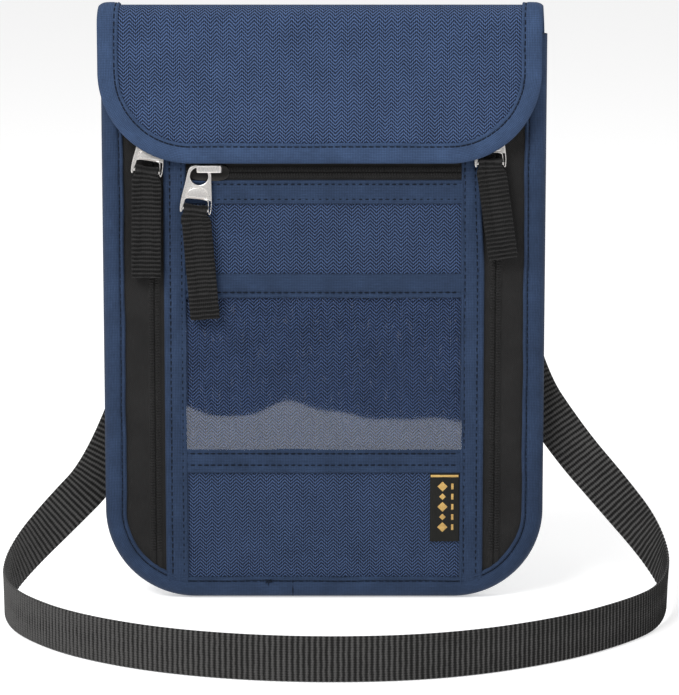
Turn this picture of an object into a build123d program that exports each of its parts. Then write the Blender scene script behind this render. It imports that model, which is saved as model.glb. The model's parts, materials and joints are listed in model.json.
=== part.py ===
from build123d import *
import os

# Neck pouch wallet. Millimetres, +Z up, the front faces -Y, and it stands on z = 0.

# ---- pouch outline ----
POUCH_WIDTH = 151.6
FLAP_WIDTH = 150.0
POUCH_TOP = 206.0              # top of the fold of the flap
BODY_CORNER = 31.0             # outer radius of the two bottom corners
EDGE_BAND = 7.5                # width of the binding round the edge
FRAME_TOP = 196.0              # where the edge binding ends, under the flap
BACK_TOP = 199.5
MOUTH_TOP = 189.0              # top of the front, under the flap
MOUTH_BAND = 5.0

# ---- layers, as depths measured forward from the outside of the back panel ----
ANCHOR_DEPTHS = (-2.8, 0.0)
STRAP_DEPTH = -2.2
FRAME_DEPTHS = (-0.4, 8.9)
BACK_DEPTHS = (0.0, 0.8)
BACK_LINING_DEPTHS = (0.8, 1.1)
FRONT_LINING_DEPTHS = (5.8, 6.1)
BASE_DEPTHS = (6.1, 6.9)
PANEL_DEPTHS = (6.9, 7.5)
BAND_DEPTHS = (7.5, 8.5)
STRIP_DEPTHS = (7.5, 8.3)
FILM_DEPTHS = (7.9, 8.2)
LABEL_DEPTHS = (7.5, 8.0)
COIL_DEPTHS = (7.5, 8.3)
SKIRT_DEPTHS = (7.7, 8.6)
SLIDER_DEPTHS = (8.6, 9.5)
PIVOT_DEPTH = 10.9
FLAP_LINING_DEPTHS = (12.4, 12.7)
FLAP_OUTER_DEPTHS = (12.7, 13.5)
FLAP_BINDING_DEPTHS = (12.3, 13.9)
BACK_Y = (FLAP_BINDING_DEPTHS[1] + ANCHOR_DEPTHS[0]) / 2

# ---- front layout ----
LEFT_BAND_X = (-54.8, -46.9)
RIGHT_BAND_X = (46.8, 54.9)
CENTRE_X = (LEFT_BAND_X[1], RIGHT_BAND_X[0])
ZIP_LINE_Z = 149.2
TOP_TAPE_Z = (142.4, 156.0)
ZIP_STRIP_Z = (138.3, 146.6)
WINDOW_TOP_BAND_Z = (105.6, 114.3)
WINDOW_BOTTOM_BAND_Z = (44.6, 53.6)
UPPER_SEAM_Z = 110.3
LOWER_SEAM_Z = 49.0
LABEL_SIZE = (10.2, 24.1)
LABEL_TOP = 44.6

# ---- flap ----
FLAP_BOTTOM = 152.7
FLAP_CORNER = 31.0
FLAP_BAND = 7.0
FOLD_BACK_DEPTH = 2.6
FOLD_THICKNESS = 1.4
FOLD_LINING = 0.4
CLOSURE_SIZE = (60.0, 18.0)
CLOSURE_Z = 170.0
LOOP_DEPTHS = (7.9, 9.3)
HOOK_DEPTHS = (11.0, 12.4)

# ---- zips: coil line, slider place, and how the tab and the pull lean, in degrees ----
COIL_WIDTH = 2.6
SIDE_COIL_Z = (17.0, 178.0)
TOP_COIL_X = (-46.0, 45.8)
LEFT_COIL_X = -58.1
RIGHT_COIL_X = 58.7
LEFT_ZIP = {"x": -58.1, "z": 163.6, "tab_lean": 8.5, "pull_lean": 0.8, "pull_drop": 37.0}
RIGHT_ZIP = {"x": 56.5, "z": 166.4, "tab_lean": 0.0, "pull_lean": -8.1, "pull_drop": 33.4}
TOP_ZIP = {"x": -42.1, "z": 150.5, "tab_lean": 6.6, "pull_lean": -4.7, "pull_drop": 38.2}
SIDE_SLIDER = (9.0, 12.0)
TOP_SLIDER = (13.2, 5.8)
LEFT_SLIDER_SHIFT = (0.0, 0.0)  # the middle of each slider, seen from its tab's pivot
RIGHT_SLIDER_SHIFT = (1.3, 0.0)
TOP_SLIDER_SHIFT = (3.2, -1.3)
LUG = 0.9
PIN_R = 0.6
KNUCKLE_R = 1.25
KNUCKLE_BORE_R = 0.68
KNUCKLE_WIDTH = 4.2
SIDE_GAP = 0.25
TAB_THICKNESS = 1.0
TAB_TOP_WIDTH = 6.8
TAB_BOTTOM_WIDTH = 10.8
TAB_PLATE_Z = (-1.0, -10.5)
TAB_BAR_Z = -13.9
TAB_END_Z = -15.2
TAB_ARM = 1.1
BAR_R = 0.5
PULL_BORE_R = 0.58
PULL_WIDTH = 10.0
PULL_THICKNESS = 2.0
PULL_SHOULDER = 2.2            # how far under the bar the pull reaches its full width

# ---- neck strap: flat webbing that leaves the left anchor and returns to the right one ----
STRAP_WIDTH = 15.0
STRAP_THICKNESS = 1.2
ANCHOR_X = 55.5
ANCHOR_WIDTH = 16.0
EXIT_Z = 192.0
ANCHOR_LOW_Z = 178.0
EXIT_Y = BACK_Y - STRAP_DEPTH
ARC_SHARE = 0.45
ROUTE = [
    (-55.5, EXIT_Y, EXIT_Z),
    (-55.5, EXIT_Y, 156.0),
    (-60.6, 10.8, 84.0),
    (-77.0, 10.4, 43.0),
    (-91.8, 6.2, 28.2),
    (-102.8, -4.4, 17.8),
    (-108.4, -18.4, 11.2),
    (-108.2, -34.2, 7.7),
    (-99.6, -57.6, 7.5),
    (-79.4, -83.2, 7.5),
    (-46.2, -103.6, 7.5),
    (-3.8, -112.6, 7.5),
    (39.6, -108.0, 7.5),
    (77.6, -87.0, 7.5),
    (103.6, -59.6, 7.5),
    (114.0, -39.8, 7.6),
    (117.8, -19.8, 11.6),
    (112.2, -2.0, 21.8),
    (99.4, 8.0, 36.4),
    (85.4, 10.4, 52.4),
    (67.8, 10.8, 78.5),
    (55.5, EXIT_Y, 142.0),
    (55.5, EXIT_Y, EXIT_Z),
]
LEFT_SPLIT = 7                 # the strap's nodes meet halfway along the run before this point
RIGHT_SPLIT = 16
ARC_STEP_DEG = 7.0
UPRIGHT_HEIGHT = 7.5           # up to here the webbing stands on its edge
LEAN_HEIGHT = 70.0             # over this height it turns to face the back of the pouch

# ---- strap adjuster, on the long straight run behind the pouch ----
ADJUSTER_RUN = 1
ADJUSTER_LENGTH = 13.0
ADJUSTER_RAIL = 2.2
ADJUSTER_BAR = 2.4
ADJUSTER_GAP = 0.35
ADJUSTER_SKIN = 1.0


def front_plane(depth):
    """The upright plane at this depth, facing the front, with X across and Z up."""
    return Plane((0, BACK_Y - depth, 0), x_dir=(1, 0, 0), z_dir=(0, -1, 0))


def slab(sketch, depths):
    return extrude(front_plane(depths[0]) * sketch, depths[1] - depths[0])


def rect(xs, zs):
    return Pos((xs[0] + xs[1]) / 2, (zs[0] + zs[1]) / 2) * Rectangle(xs[1] - xs[0], zs[1] - zs[0])


def bag_outline(half_width, low, high, corner):
    """An upright rectangle with its two bottom corners rounded."""
    shape = rect((-half_width, half_width), (low, high))
    return fillet(shape.vertices().sort_by(Axis.Y)[:2], corner)


def bag_slab(xs, zs, depths):
    """A flat panel, trimmed by the inner line of the edge binding."""
    inner = bag_outline(POUCH_WIDTH / 2 - EDGE_BAND, EDGE_BAND, FRAME_TOP, BODY_CORNER - EDGE_BAND)
    return slab(inner & rect(xs, zs), depths)


def body_panels():
    """Back, linings, base, front panels and bindings of the pouch."""
    half = POUCH_WIDTH / 2
    inner_half = half - EDGE_BAND
    full = (-inner_half, inner_half)
    between = (LEFT_BAND_X[0], RIGHT_BAND_X[1])
    front_top = MOUTH_TOP - MOUTH_BAND
    outer = bag_outline(half, 0, FRAME_TOP, BODY_CORNER)
    inner = bag_outline(inner_half, EDGE_BAND, FRAME_TOP, BODY_CORNER - EDGE_BAND)
    hood = rect((-half, half), (FRAME_TOP, BACK_TOP))
    nodes = {
        "edge_binding": slab(outer - inner, FRAME_DEPTHS),
        "back_panel": slab(inner + hood, BACK_DEPTHS),
        "back_shield_lining": bag_slab(full, (0, MOUTH_TOP), BACK_LINING_DEPTHS),
        "front_shield_lining": bag_slab(full, (0, front_top), FRONT_LINING_DEPTHS),
        "pocket_base": bag_slab(full, (0, front_top), BASE_DEPTHS),
        "mouth_binding": slab(rect(full, (front_top, MOUTH_TOP)), (FRONT_LINING_DEPTHS[0], BAND_DEPTHS[1])),
        "left_zip_tape": bag_slab((full[0], LEFT_BAND_X[0]), (0, front_top), PANEL_DEPTHS),
        "right_zip_tape": bag_slab((RIGHT_BAND_X[1], full[1]), (0, front_top), PANEL_DEPTHS),
        "top_zip_tape": bag_slab(between, TOP_TAPE_Z, PANEL_DEPTHS),
        "closure_panel": bag_slab(between, (TOP_TAPE_Z[1], front_top), PANEL_DEPTHS),
        "upper_front_panel": bag_slab(between, (UPPER_SEAM_Z, TOP_TAPE_Z[0]), PANEL_DEPTHS),
        "window_backing": bag_slab(between, (LOWER_SEAM_Z, UPPER_SEAM_Z), PANEL_DEPTHS),
        "lower_front_panel": bag_slab(between, (0, LOWER_SEAM_Z), PANEL_DEPTHS),
        "left_centre_binding": bag_slab(LEFT_BAND_X, (0, front_top), BAND_DEPTHS),
        "right_centre_binding": bag_slab(RIGHT_BAND_X, (0, front_top), BAND_DEPTHS),
        "zip_facing_strip": slab(rect(CENTRE_X, ZIP_STRIP_Z), STRIP_DEPTHS),
        "window_top_binding": slab(rect(CENTRE_X, WINDOW_TOP_BAND_Z), BAND_DEPTHS),
        "window_bottom_binding": slab(rect(CENTRE_X, WINDOW_BOTTOM_BAND_Z), BAND_DEPTHS),
        "clear_window": slab(rect(CENTRE_X, (WINDOW_BOTTOM_BAND_Z[1], WINDOW_TOP_BAND_Z[0])), FILM_DEPTHS),
        "side_label": slab(rect((CENTRE_X[1] - LABEL_SIZE[0], CENTRE_X[1]),
                                (LABEL_TOP - LABEL_SIZE[1], LABEL_TOP)), LABEL_DEPTHS),
    }
    closure = Pos(0, CLOSURE_Z) * Rectangle(*CLOSURE_SIZE)
    nodes["loop_patch"] = slab(closure, (PANEL_DEPTHS[1], LOOP_DEPTHS[1]))
    return nodes


def zip_coils():
    half = COIL_WIDTH / 2
    nodes = {}
    for name, line in (("left_zip_coil", LEFT_COIL_X), ("right_zip_coil", RIGHT_COIL_X)):
        nodes[name] = slab(rect((line - half, line + half), SIDE_COIL_Z), COIL_DEPTHS)
    nodes["top_zip_coil"] = slab(rect(TOP_COIL_X, (ZIP_LINE_Z - half, ZIP_LINE_Z + half)), COIL_DEPTHS)
    return nodes


def flap_nodes():
    """The flap's front sheet and its fold over the top, which stops short of the back panel."""
    half = FLAP_WIDTH / 2
    outer = bag_outline(half, FLAP_BOTTOM, POUCH_TOP, FLAP_CORNER)
    inner = bag_outline(half - FLAP_BAND, FLAP_BOTTOM + FLAP_BAND, POUCH_TOP, FLAP_CORNER - FLAP_BAND)
    fold_depths = (FOLD_BACK_DEPTH, FLAP_BINDING_DEPTHS[0])
    fold_low = POUCH_TOP - FOLD_THICKNESS
    fold = slab(rect((-half, half), (fold_low, POUCH_TOP)), fold_depths)
    fold_lining = slab(rect((-half, half), (fold_low - FOLD_LINING, fold_low)), fold_depths)
    sheet = slab(inner, FLAP_OUTER_DEPTHS)
    bridge = slab(rect((FLAP_BAND - half, half - FLAP_BAND), (fold_low, POUCH_TOP)),
                  (FLAP_BINDING_DEPTHS[0], FLAP_OUTER_DEPTHS[0]))
    lining_top = fold_low - FOLD_LINING
    lining = slab(inner & rect((-half, half), (0, fold_low)), FLAP_LINING_DEPTHS)
    lining_bridge = slab(rect((FLAP_BAND - half, half - FLAP_BAND), (lining_top, fold_low)),
                         (FLAP_BINDING_DEPTHS[0], FLAP_LINING_DEPTHS[0]))
    closure = Pos(0, CLOSURE_Z) * Rectangle(*CLOSURE_SIZE)
    return {
        "flap_panel": sheet + bridge + fold,
        "flap_lining": lining + lining_bridge + fold_lining,
        "flap_binding": slab(outer - inner, FLAP_BINDING_DEPTHS),
        "hook_patch": slab(closure, HOOK_DEPTHS),
    }


def cross_rod(radius, width):
    """A rod along X, in the pivot's own frame."""
    return Rot(0, 90, 0) * Cylinder(radius, width)


def block(xs, ys, zs):
    size = (xs[1] - xs[0], ys[1] - ys[0], zs[1] - zs[0])
    return Pos(*[(low + high) / 2 for low, high in (xs, ys, zs)]) * Box(*size)


def pivot_place(zip_place):
    return Pos(zip_place["x"], BACK_Y - PIVOT_DEPTH, zip_place["z"])


def slider(zip_place, size, shift, line, along_x):
    """A slider: a plate, two skirts beside the coil, two lugs and the pin that carries the tab."""
    half_x, half_z = size[0] / 2, size[1] / 2
    cx, cz = zip_place["x"] + shift[0], zip_place["z"] + shift[1]
    plate = slab(Pos(cx, cz) * RectangleRounded(size[0], size[1], 1.6), SLIDER_DEPTHS)
    skirts = []
    for side in (-1, 1):
        near, far = sorted((side * (COIL_WIDTH / 2 + 0.25), side * (COIL_WIDTH / 2 + 0.85)))
        if along_x:
            outline = rect((cx - half_x + 2, cx + half_x - 2), (line + near, line + far))
        else:
            outline = rect((line + near, line + far), (cz - half_z + 2, cz + half_z - 2))
        skirts.append(slab(outline, SKIRT_DEPTHS))
    inside = KNUCKLE_WIDTH / 2 + SIDE_GAP
    reach = PIVOT_DEPTH - SLIDER_DEPTHS[1]
    lugs = [block(sorted((side * inside, side * (inside + LUG))), (0, reach), (-KNUCKLE_R, KNUCKLE_R))
            + Pos(side * (inside + LUG / 2), 0, 0) * cross_rod(KNUCKLE_R, LUG) for side in (-1, 1)]
    pin = cross_rod(PIN_R, 2 * inside + LUG)
    return plate + skirts + [pivot_place(zip_place) * piece for piece in lugs + [pin]]


def pull_tab(zip_place):
    """The metal tab: a knuckle on the slider's pin, a widening plate, two arms and a cross bar."""
    half_t = TAB_THICKNESS / 2
    top, low = TAB_PLATE_Z
    plate = Polygon((-TAB_BOTTOM_WIDTH / 2, low), (TAB_BOTTOM_WIDTH / 2, low),
                    (TAB_TOP_WIDTH / 2, top - 1), (-TAB_TOP_WIDTH / 2, top - 1), align=None)
    neck = rect((-KNUCKLE_WIDTH / 2, KNUCKLE_WIDTH / 2), (top - 1, 0))
    face = Plane((0, half_t, 0), x_dir=(1, 0, 0), z_dir=(0, -1, 0))
    arms = [rect(sorted((side * (TAB_BOTTOM_WIDTH / 2 - TAB_ARM), side * TAB_BOTTOM_WIDTH / 2)),
                 (TAB_END_Z, low)) for side in (-1, 1)]
    leaning = extrude(face * (plate + arms), TAB_THICKNESS)
    leaning += Pos(0, 0, TAB_BAR_Z) * cross_rod(BAR_R, TAB_BOTTOM_WIDTH - TAB_ARM)
    tab = Rot(0, zip_place["tab_lean"], 0) * leaning
    tab += extrude(face * neck, TAB_THICKNESS) + cross_rod(KNUCKLE_R, KNUCKLE_WIDTH)
    return pivot_place(zip_place) * (tab - cross_rod(KNUCKLE_BORE_R, 2 * KNUCKLE_WIDTH))


def bar_place(zip_place):
    """The middle of the tab's cross bar, with the tab's lean."""
    return pivot_place(zip_place) * Rot(0, zip_place["tab_lean"], 0) * Pos(0, 0, TAB_BAR_Z)


def webbing_pull(zip_place):
    """The doubled webbing: a sleeve round the tab's bar, then a flat strip with its own lean."""
    sleeve_width = TAB_BOTTOM_WIDTH - 2 * TAB_ARM - 2 * SIDE_GAP
    half_t = PULL_THICKNESS / 2
    turn = zip_place["pull_lean"] - zip_place["tab_lean"]
    shoulder = PULL_SHOULDER + PULL_WIDTH / 2 * tan_deg(abs(turn))
    strip = block((-PULL_WIDTH / 2, PULL_WIDTH / 2), (-half_t, half_t), (-zip_place["pull_drop"], -shoulder))
    neck = block((-sleeve_width / 2, sleeve_width / 2), (-half_t, half_t), (-shoulder - 1, 0))
    pull = Rot(0, turn, 0) * strip + neck + cross_rod(half_t, sleeve_width)
    return bar_place(zip_place) * (pull - cross_rod(PULL_BORE_R, PULL_WIDTH))


def zip_nodes():
    nodes = {}
    sides = (("left", LEFT_ZIP, SIDE_SLIDER, LEFT_SLIDER_SHIFT, LEFT_COIL_X, False),
             ("right", RIGHT_ZIP, SIDE_SLIDER, RIGHT_SLIDER_SHIFT, RIGHT_COIL_X, False),
             ("top", TOP_ZIP, TOP_SLIDER, TOP_SLIDER_SHIFT, ZIP_LINE_Z, True))
    for name, place, size, shift, line, along_x in sides:
        nodes[f"{name}_zip_slider"] = slider(place, size, shift, line, along_x)
        nodes[f"{name}_pull_tab"] = pull_tab(place)
        nodes[f"{name}_webbing_pull"] = webbing_pull(place)
        bar = bar_place(place).position
        print(name, "pivot", tuple(pivot_place(place).position), "bar", tuple(bar))
    return nodes


def strap_anchors():
    """The strap's ends: sewn flat to the back, turned over at the top and coming down outside."""
    outer, leg = -ANCHOR_DEPTHS[0], STRAP_THICKNESS
    y_out, y_in = BACK_Y + outer, BACK_Y
    anchors = []
    for side in (-1, 1):
        xs = sorted((side * (ANCHOR_X - ANCHOR_WIDTH / 2), side * (ANCHOR_X + ANCHOR_WIDTH / 2)))
        sewn = block(xs, (y_in, y_in + leg), (ANCHOR_LOW_Z, BACK_TOP))
        falling = block(xs, (y_out - leg, y_out), (EXIT_Z, BACK_TOP))
        top = block(xs, (y_in, y_out), (BACK_TOP - leg, BACK_TOP))
        body = sewn + falling + top
        anchors.append(fillet(body.edges().filter_by(Axis.X).group_by(Axis.Z)[-1], leg))
    return dict(zip(("left_strap_anchor", "right_strap_anchor"), anchors))


def corner_radii(points):
    """Each corner's arc takes the same share of its shorter run."""
    radii = []
    for before, here, after in zip(points, points[1:], points[2:]):
        run_in, run_out = Vector(*here) - Vector(*before), Vector(*after) - Vector(*here)
        shorter = min(run_in.length, run_out.length)
        radii.append(ARC_SHARE * shorter / tan_deg(run_in.get_angle(run_out) / 2))
    return radii


def tan_deg(angle):
    direction = Vector(1, 0, 0).rotate(Axis.Z, angle)
    return direction.Y / direction.X


def strap_plane(origin, tangent):
    """Across the webbing: upright on the surface, and facing back where it hangs behind the pouch."""
    side = 1 if origin.X > 0 else -1
    lean = side * max(0, origin.Z - UPRIGHT_HEIGHT) / LEAN_HEIGHT
    face = tangent.cross(Vector(lean, 0, 1)).normalized()
    return Plane(origin, x_dir=face.cross(tangent), z_dir=tangent)


def strap_section(origin, tangent):
    return strap_plane(origin, tangent) * Rectangle(STRAP_WIDTH, STRAP_THICKNESS)


def webbing(points, radii):
    """Flat webbing along straight runs joined by tangent arcs."""
    path = FilletPolyline(*points, radius=radii)
    edges = path.edges()
    sections = [strap_section(edges[0] @ 0, edges[0] % 0)]
    for edge in edges:
        steps = 1
        if edge.geom_type == GeomType.CIRCLE:
            steps = max(2, round((edge % 0).get_angle(edge % 1) / ARC_STEP_DEG))
        sections += [strap_section(edge @ (i / steps), edge % (i / steps)) for i in range(1, steps + 1)]
    solid = loft(sections, ruled=True)
    expected = STRAP_WIDTH * STRAP_THICKNESS * path.length
    print(f"webbing length {path.length:.1f}, volume over section x length {solid.volume / expected:.4f}")
    return solid


def midpoint(a, b):
    return tuple((p + q) / 2 for p, q in zip(a, b))


def strap_nodes():
    radii = corner_radii(ROUTE)
    print("strap arc radii", [round(r, 1) for r in radii])
    left_cut = midpoint(ROUTE[LEFT_SPLIT - 1], ROUTE[LEFT_SPLIT])
    right_cut = midpoint(ROUTE[RIGHT_SPLIT - 1], ROUTE[RIGHT_SPLIT])
    return {
        "strap_left_riser": webbing(ROUTE[:LEFT_SPLIT] + [left_cut], radii[:LEFT_SPLIT - 1]),
        "strap_front_loop": webbing([left_cut] + ROUTE[LEFT_SPLIT:RIGHT_SPLIT] + [right_cut],
                                    radii[LEFT_SPLIT - 1:RIGHT_SPLIT - 1]),
        "strap_right_riser": webbing([right_cut] + ROUTE[RIGHT_SPLIT:], radii[RIGHT_SPLIT - 1:]),
    }


def strap_adjuster():
    """A frame round the strap: end bars behind it and the middle bar in front of it."""
    start, end = Vector(*ROUTE[ADJUSTER_RUN]), Vector(*ROUTE[ADJUSTER_RUN + 1])
    tangent = (end - start).normalized()
    centre = (start + end) / 2
    print("adjuster", tuple(centre), "way", tuple(tangent))
    half_w = STRAP_WIDTH / 2 + ADJUSTER_GAP
    half_t = STRAP_THICKNESS / 2 + ADJUSTER_GAP
    thick = (-half_t - ADJUSTER_SKIN, half_t + ADJUSTER_SKIN)
    half_l = ADJUSTER_LENGTH / 2
    rails = [block(sorted((side * half_w, side * (half_w + ADJUSTER_RAIL))), thick, (-half_l, half_l))
             for side in (-1, 1)]
    behind = (half_t, half_t + ADJUSTER_SKIN)
    ends = [block((-half_w, half_w), behind, sorted((side * (half_l - ADJUSTER_BAR), side * half_l)))
            for side in (-1, 1)]
    middle = block((-half_w, half_w), (-half_t - ADJUSTER_SKIN, -half_t), (-ADJUSTER_BAR / 2, ADJUSTER_BAR / 2))
    frame = rails[0] + rails[1] + ends[0] + ends[1] + middle
    return {"strap_adjuster": strap_plane(centre, tangent) * frame}


def main():
    os.makedirs("parts", exist_ok=True)
    nodes = {}
    for group in (body_panels, zip_coils, flap_nodes, zip_nodes, strap_anchors, strap_nodes, strap_adjuster):
        nodes.update(group())
    for name, shape in nodes.items():
        export_step(shape, f"parts/{name}.step")
    print(len(nodes), "nodes")


main()
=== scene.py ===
import json
import math

import bmesh
import bpy
import numpy as np
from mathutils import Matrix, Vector


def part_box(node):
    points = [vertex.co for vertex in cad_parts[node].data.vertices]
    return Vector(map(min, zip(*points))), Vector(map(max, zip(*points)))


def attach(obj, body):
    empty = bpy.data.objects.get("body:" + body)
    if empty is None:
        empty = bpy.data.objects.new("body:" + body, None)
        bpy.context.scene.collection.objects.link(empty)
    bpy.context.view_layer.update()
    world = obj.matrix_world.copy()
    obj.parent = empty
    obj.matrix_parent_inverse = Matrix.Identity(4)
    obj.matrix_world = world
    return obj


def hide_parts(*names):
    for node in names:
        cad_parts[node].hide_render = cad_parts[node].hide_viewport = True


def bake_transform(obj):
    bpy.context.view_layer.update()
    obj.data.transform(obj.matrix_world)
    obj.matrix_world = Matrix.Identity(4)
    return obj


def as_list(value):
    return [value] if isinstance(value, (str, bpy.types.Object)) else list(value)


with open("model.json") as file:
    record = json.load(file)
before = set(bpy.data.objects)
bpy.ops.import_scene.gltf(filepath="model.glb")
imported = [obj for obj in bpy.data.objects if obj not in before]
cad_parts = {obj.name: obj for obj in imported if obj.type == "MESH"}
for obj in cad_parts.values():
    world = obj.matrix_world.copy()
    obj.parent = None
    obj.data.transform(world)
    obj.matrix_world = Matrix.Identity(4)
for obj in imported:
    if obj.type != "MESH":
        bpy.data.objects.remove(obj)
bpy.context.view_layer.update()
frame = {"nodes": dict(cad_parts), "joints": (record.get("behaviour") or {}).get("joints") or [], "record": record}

# Lengths in this script are in millimetres up to make_mesh, which writes metres.
MM = 0.001


def extent(node):
    """A CAD node's lowest and highest corners, in millimetres."""
    low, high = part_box(node)
    return np.array(low) / MM, np.array(high) / MM


# ---- places taken from the frame ----
JOINTS = {joint["name"]: joint for joint in frame["joints"]}
SLOT_OF = {part["node"]: part["material_slot"] for part in frame["record"]["subparts"]}
BODY_HIGH = extent("edge_binding")[1]
BACK_TOP = extent("back_panel")[1][2]
MOUTH_LOW, MOUTH_HIGH = extent("mouth_binding")
FLAP_LOW, FLAP_HIGH = extent("flap_binding")
FOLD_TOP = extent("flap_panel")[1][2]
FRONT_PLANE = extent("window_backing")[0][1]
BACK_PLANE = extent("back_panel")[1][1]
BODY_HALF = BODY_HIGH[0]
FLAP_HALF = FLAP_HIGH[0]
FLAP_MIDDLE_Y = (FLAP_LOW[1] + FLAP_HIGH[1]) / 2
WINDOW_LOW, WINDOW_HIGH = extent("clear_window")

# ---- sizes of the sewn edges ----
EDGE_BAND = 7.5
BODY_CORNER = 31.0
FLAP_BAND = 7.0
FLAP_CORNER = 31.0
TUCK = 2.6                      # how far a panel runs on under the binding
STITCH_PITCH = 2.3
STITCH_LENGTH = 1.65
STITCH_RADIUS = 0.27


# ---- small tools ----
def smooth(low, high, value):
    share = np.clip((value - low) / (high - low), 0, 1)
    return share * share * (3 - 2 * share)


def steps(low, high, size):
    """Evenly spaced values from low to high, about size apart."""
    return np.linspace(low, high, max(2, int(math.ceil(abs(high - low) / size)) + 1))


def rounded_steps(width, reach=1.2, size=1.0):
    """Values across a strip, close together near both edges where it rolls over."""
    near = np.array([0, 0.05, 0.14, 0.28, 0.5, 0.8, 1.0]) * reach
    inner = steps(reach, width - reach, size)[1:-1]
    return np.concatenate([near, inner, width - near[::-1]])


def edge_roll(u, least=0.0):
    """How full webbing is across its width, from -1 to 1: it thins out in the last tenth."""
    return np.sqrt(np.clip(1 - ((np.abs(u) - 0.9) / 0.1).clip(0, 1) ** 2, least, 1))


def make_mesh(name, points, faces, weave=None):
    """A mesh from points in millimetres, with the stored cloth coordinates in metres."""
    mesh = bpy.data.meshes.new(name)
    mesh.from_pydata((np.asarray(points) * MM).tolist(), [], [tuple(map(int, f)) for f in faces])
    if weave is not None:
        layer = mesh.uv_layers.new(name="weave")
        corners = np.zeros(len(mesh.loops), np.int32)
        mesh.loops.foreach_get("vertex_index", corners)
        layer.data.foreach_set("uv", (np.asarray(weave)[corners] * MM).astype(np.float32).ravel())
    tool = bmesh.new()
    tool.from_mesh(mesh)
    bmesh.ops.recalc_face_normals(tool, faces=tool.faces)
    tool.to_mesh(mesh)
    tool.free()
    mesh.polygons.foreach_set("use_smooth", np.ones(len(mesh.polygons), bool))
    mesh.set_sharp_from_angle(angle=math.radians(50))
    piece = bpy.data.objects.new(name, mesh)
    bpy.context.scene.collection.objects.link(piece)
    return piece


def grid_quads(rows, columns, start=0, flip=False):
    index = start + np.arange(rows * columns).reshape(rows, columns)
    quads = np.stack([index[:-1, :-1], index[:-1, 1:], index[1:, 1:], index[1:, :-1]], -1).reshape(-1, 4)
    return quads[:, ::-1] if flip else quads


def rim(rows, columns):
    """The points round a grid, in order."""
    index = np.arange(rows * columns).reshape(rows, columns)
    return np.concatenate([index[0, :-1], index[:-1, -1], index[-1, :0:-1], index[:0:-1, 0]])


def cloth(name, us, vs, front, back, weave=None):
    """A closed sheet over a grid. front and back turn (u, v) into x, y and z."""
    u, v = np.meshgrid(us, vs)
    rows, columns = u.shape
    faces_of = [np.stack(np.broadcast_arrays(*side(u, v)), -1).reshape(-1, 3) for side in (front, back)]
    loop = rim(rows, columns)
    after = np.roll(loop, -1)
    count = rows * columns
    edge = np.stack([loop, loop + count, after + count, after], -1)
    quads = np.concatenate([grid_quads(rows, columns), grid_quads(rows, columns, count, True), edge])
    across, along = weave(u, v) if weave else (u, v)
    stored = np.tile(np.stack([across, along], -1).reshape(-1, 2), (2, 1))
    return make_mesh(name, np.concatenate(faces_of), quads, stored)


def sweep(name, rings, weave=None):
    """A closed solid through rings of points: rings[k][j] is point j of ring k."""
    rings = np.asarray(rings, float)
    stations, size = rings.shape[:2]
    index = np.arange(stations * size).reshape(stations, size)
    after = np.roll(index, -1, axis=1)
    faces = np.stack([index[:-1], after[:-1], after[1:], index[1:]], -1).reshape(-1, 4).tolist()
    faces += [list(range(size)), list(range((stations - 1) * size, stations * size))]
    return make_mesh(name, rings.reshape(-1, 3), faces, weave)


def join(name, pieces):
    """Several pieces as one object, with their stored coordinates."""
    bpy.ops.object.select_all(action="DESELECT")
    for piece in pieces:
        piece.select_set(True)
    bpy.context.view_layer.objects.active = pieces[0]
    bpy.ops.object.join()
    pieces[0].name = name
    pieces[0].data.name = name
    return pieces[0]


# ---- the pouch's surfaces ----
def inside_outline(x, z, half, low, corner):
    """How far a point is inside an upright outline with rounded bottom corners and an open top."""
    over_x = np.abs(x) - (half - corner)
    over_z = low + corner - z
    straight = np.minimum(half - np.abs(x), z - low)
    round_part = corner - np.hypot(over_x, over_z)
    return np.where((over_x > 0) & (over_z > 0), round_part, straight)


def body_inset(x, z):
    return inside_outline(x, z, BODY_HALF, 0.0, BODY_CORNER)


def unevenness(x, z):
    """Slack in the cloth: long, low waves."""
    return (0.16 * np.sin(x / 15 + 1.3) * np.sin(z / 21 + 0.4) + 0.10 * np.sin(x / 8.3 - z / 33)
            + 0.07 * np.sin(z / 9.1 + x / 27 + 2.0))


CROWN = 1.1
WINDOW_RECESS = 0.55            # the cloth behind the film lies this much lower
PINCH = 1.7
PINCH_REACH = 6.0


def behind_film(x, z):
    """1 behind the window's film, falling to 0 under the tapes round it."""
    def between(low, high, value):
        return smooth(low - 4, low - 1, value) * (1 - smooth(high + 1, high + 4, value))

    return between(WINDOW_LOW[0], WINDOW_HIGH[0], x) * between(WINDOW_LOW[2], WINDOW_HIGH[2], z)


def front_y(x, z):
    """The front panels: fuller in the middle, and drawn in along the binding."""
    crown = (1 - np.clip(np.abs(x) / 70, 0, 1) ** 2.4) * smooth(0, 45, z) * (1 - smooth(140, 196, z))
    inset = body_inset(x, z)
    pinch = np.exp(-np.maximum(inset, 0) / PINCH_REACH)
    slack = unevenness(x, z) * smooth(2, 14, inset) * (1 - 0.8 * behind_film(x, z))
    return FRONT_PLANE - CROWN * crown + PINCH * pinch + slack + WINDOW_RECESS * behind_film(x, z)


def back_y(x, z):
    pinch = np.exp(-np.maximum(body_inset(x, z), 0) / PINCH_REACH)
    return BACK_PLANE - 1.3 * pinch + 0.8 * unevenness(x + 40, z + 13) * smooth(4, 24, body_inset(x, z)) - 0.2


def on_front(x, z, lift):
    return x, front_y(x, z) - lift, z


def tucked_low(x, half, low, corner, band):
    """The lowest height of a panel that is tucked under a binding round a bottom corner."""
    reach = corner - band + TUCK
    over = np.clip(np.abs(x) - (half - corner), 0, reach)
    return low + corner - np.sqrt(reach ** 2 - over ** 2)


def floor_z(x):
    return tucked_low(x, BODY_HALF, 0.0, BODY_CORNER, EDGE_BAND)


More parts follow.
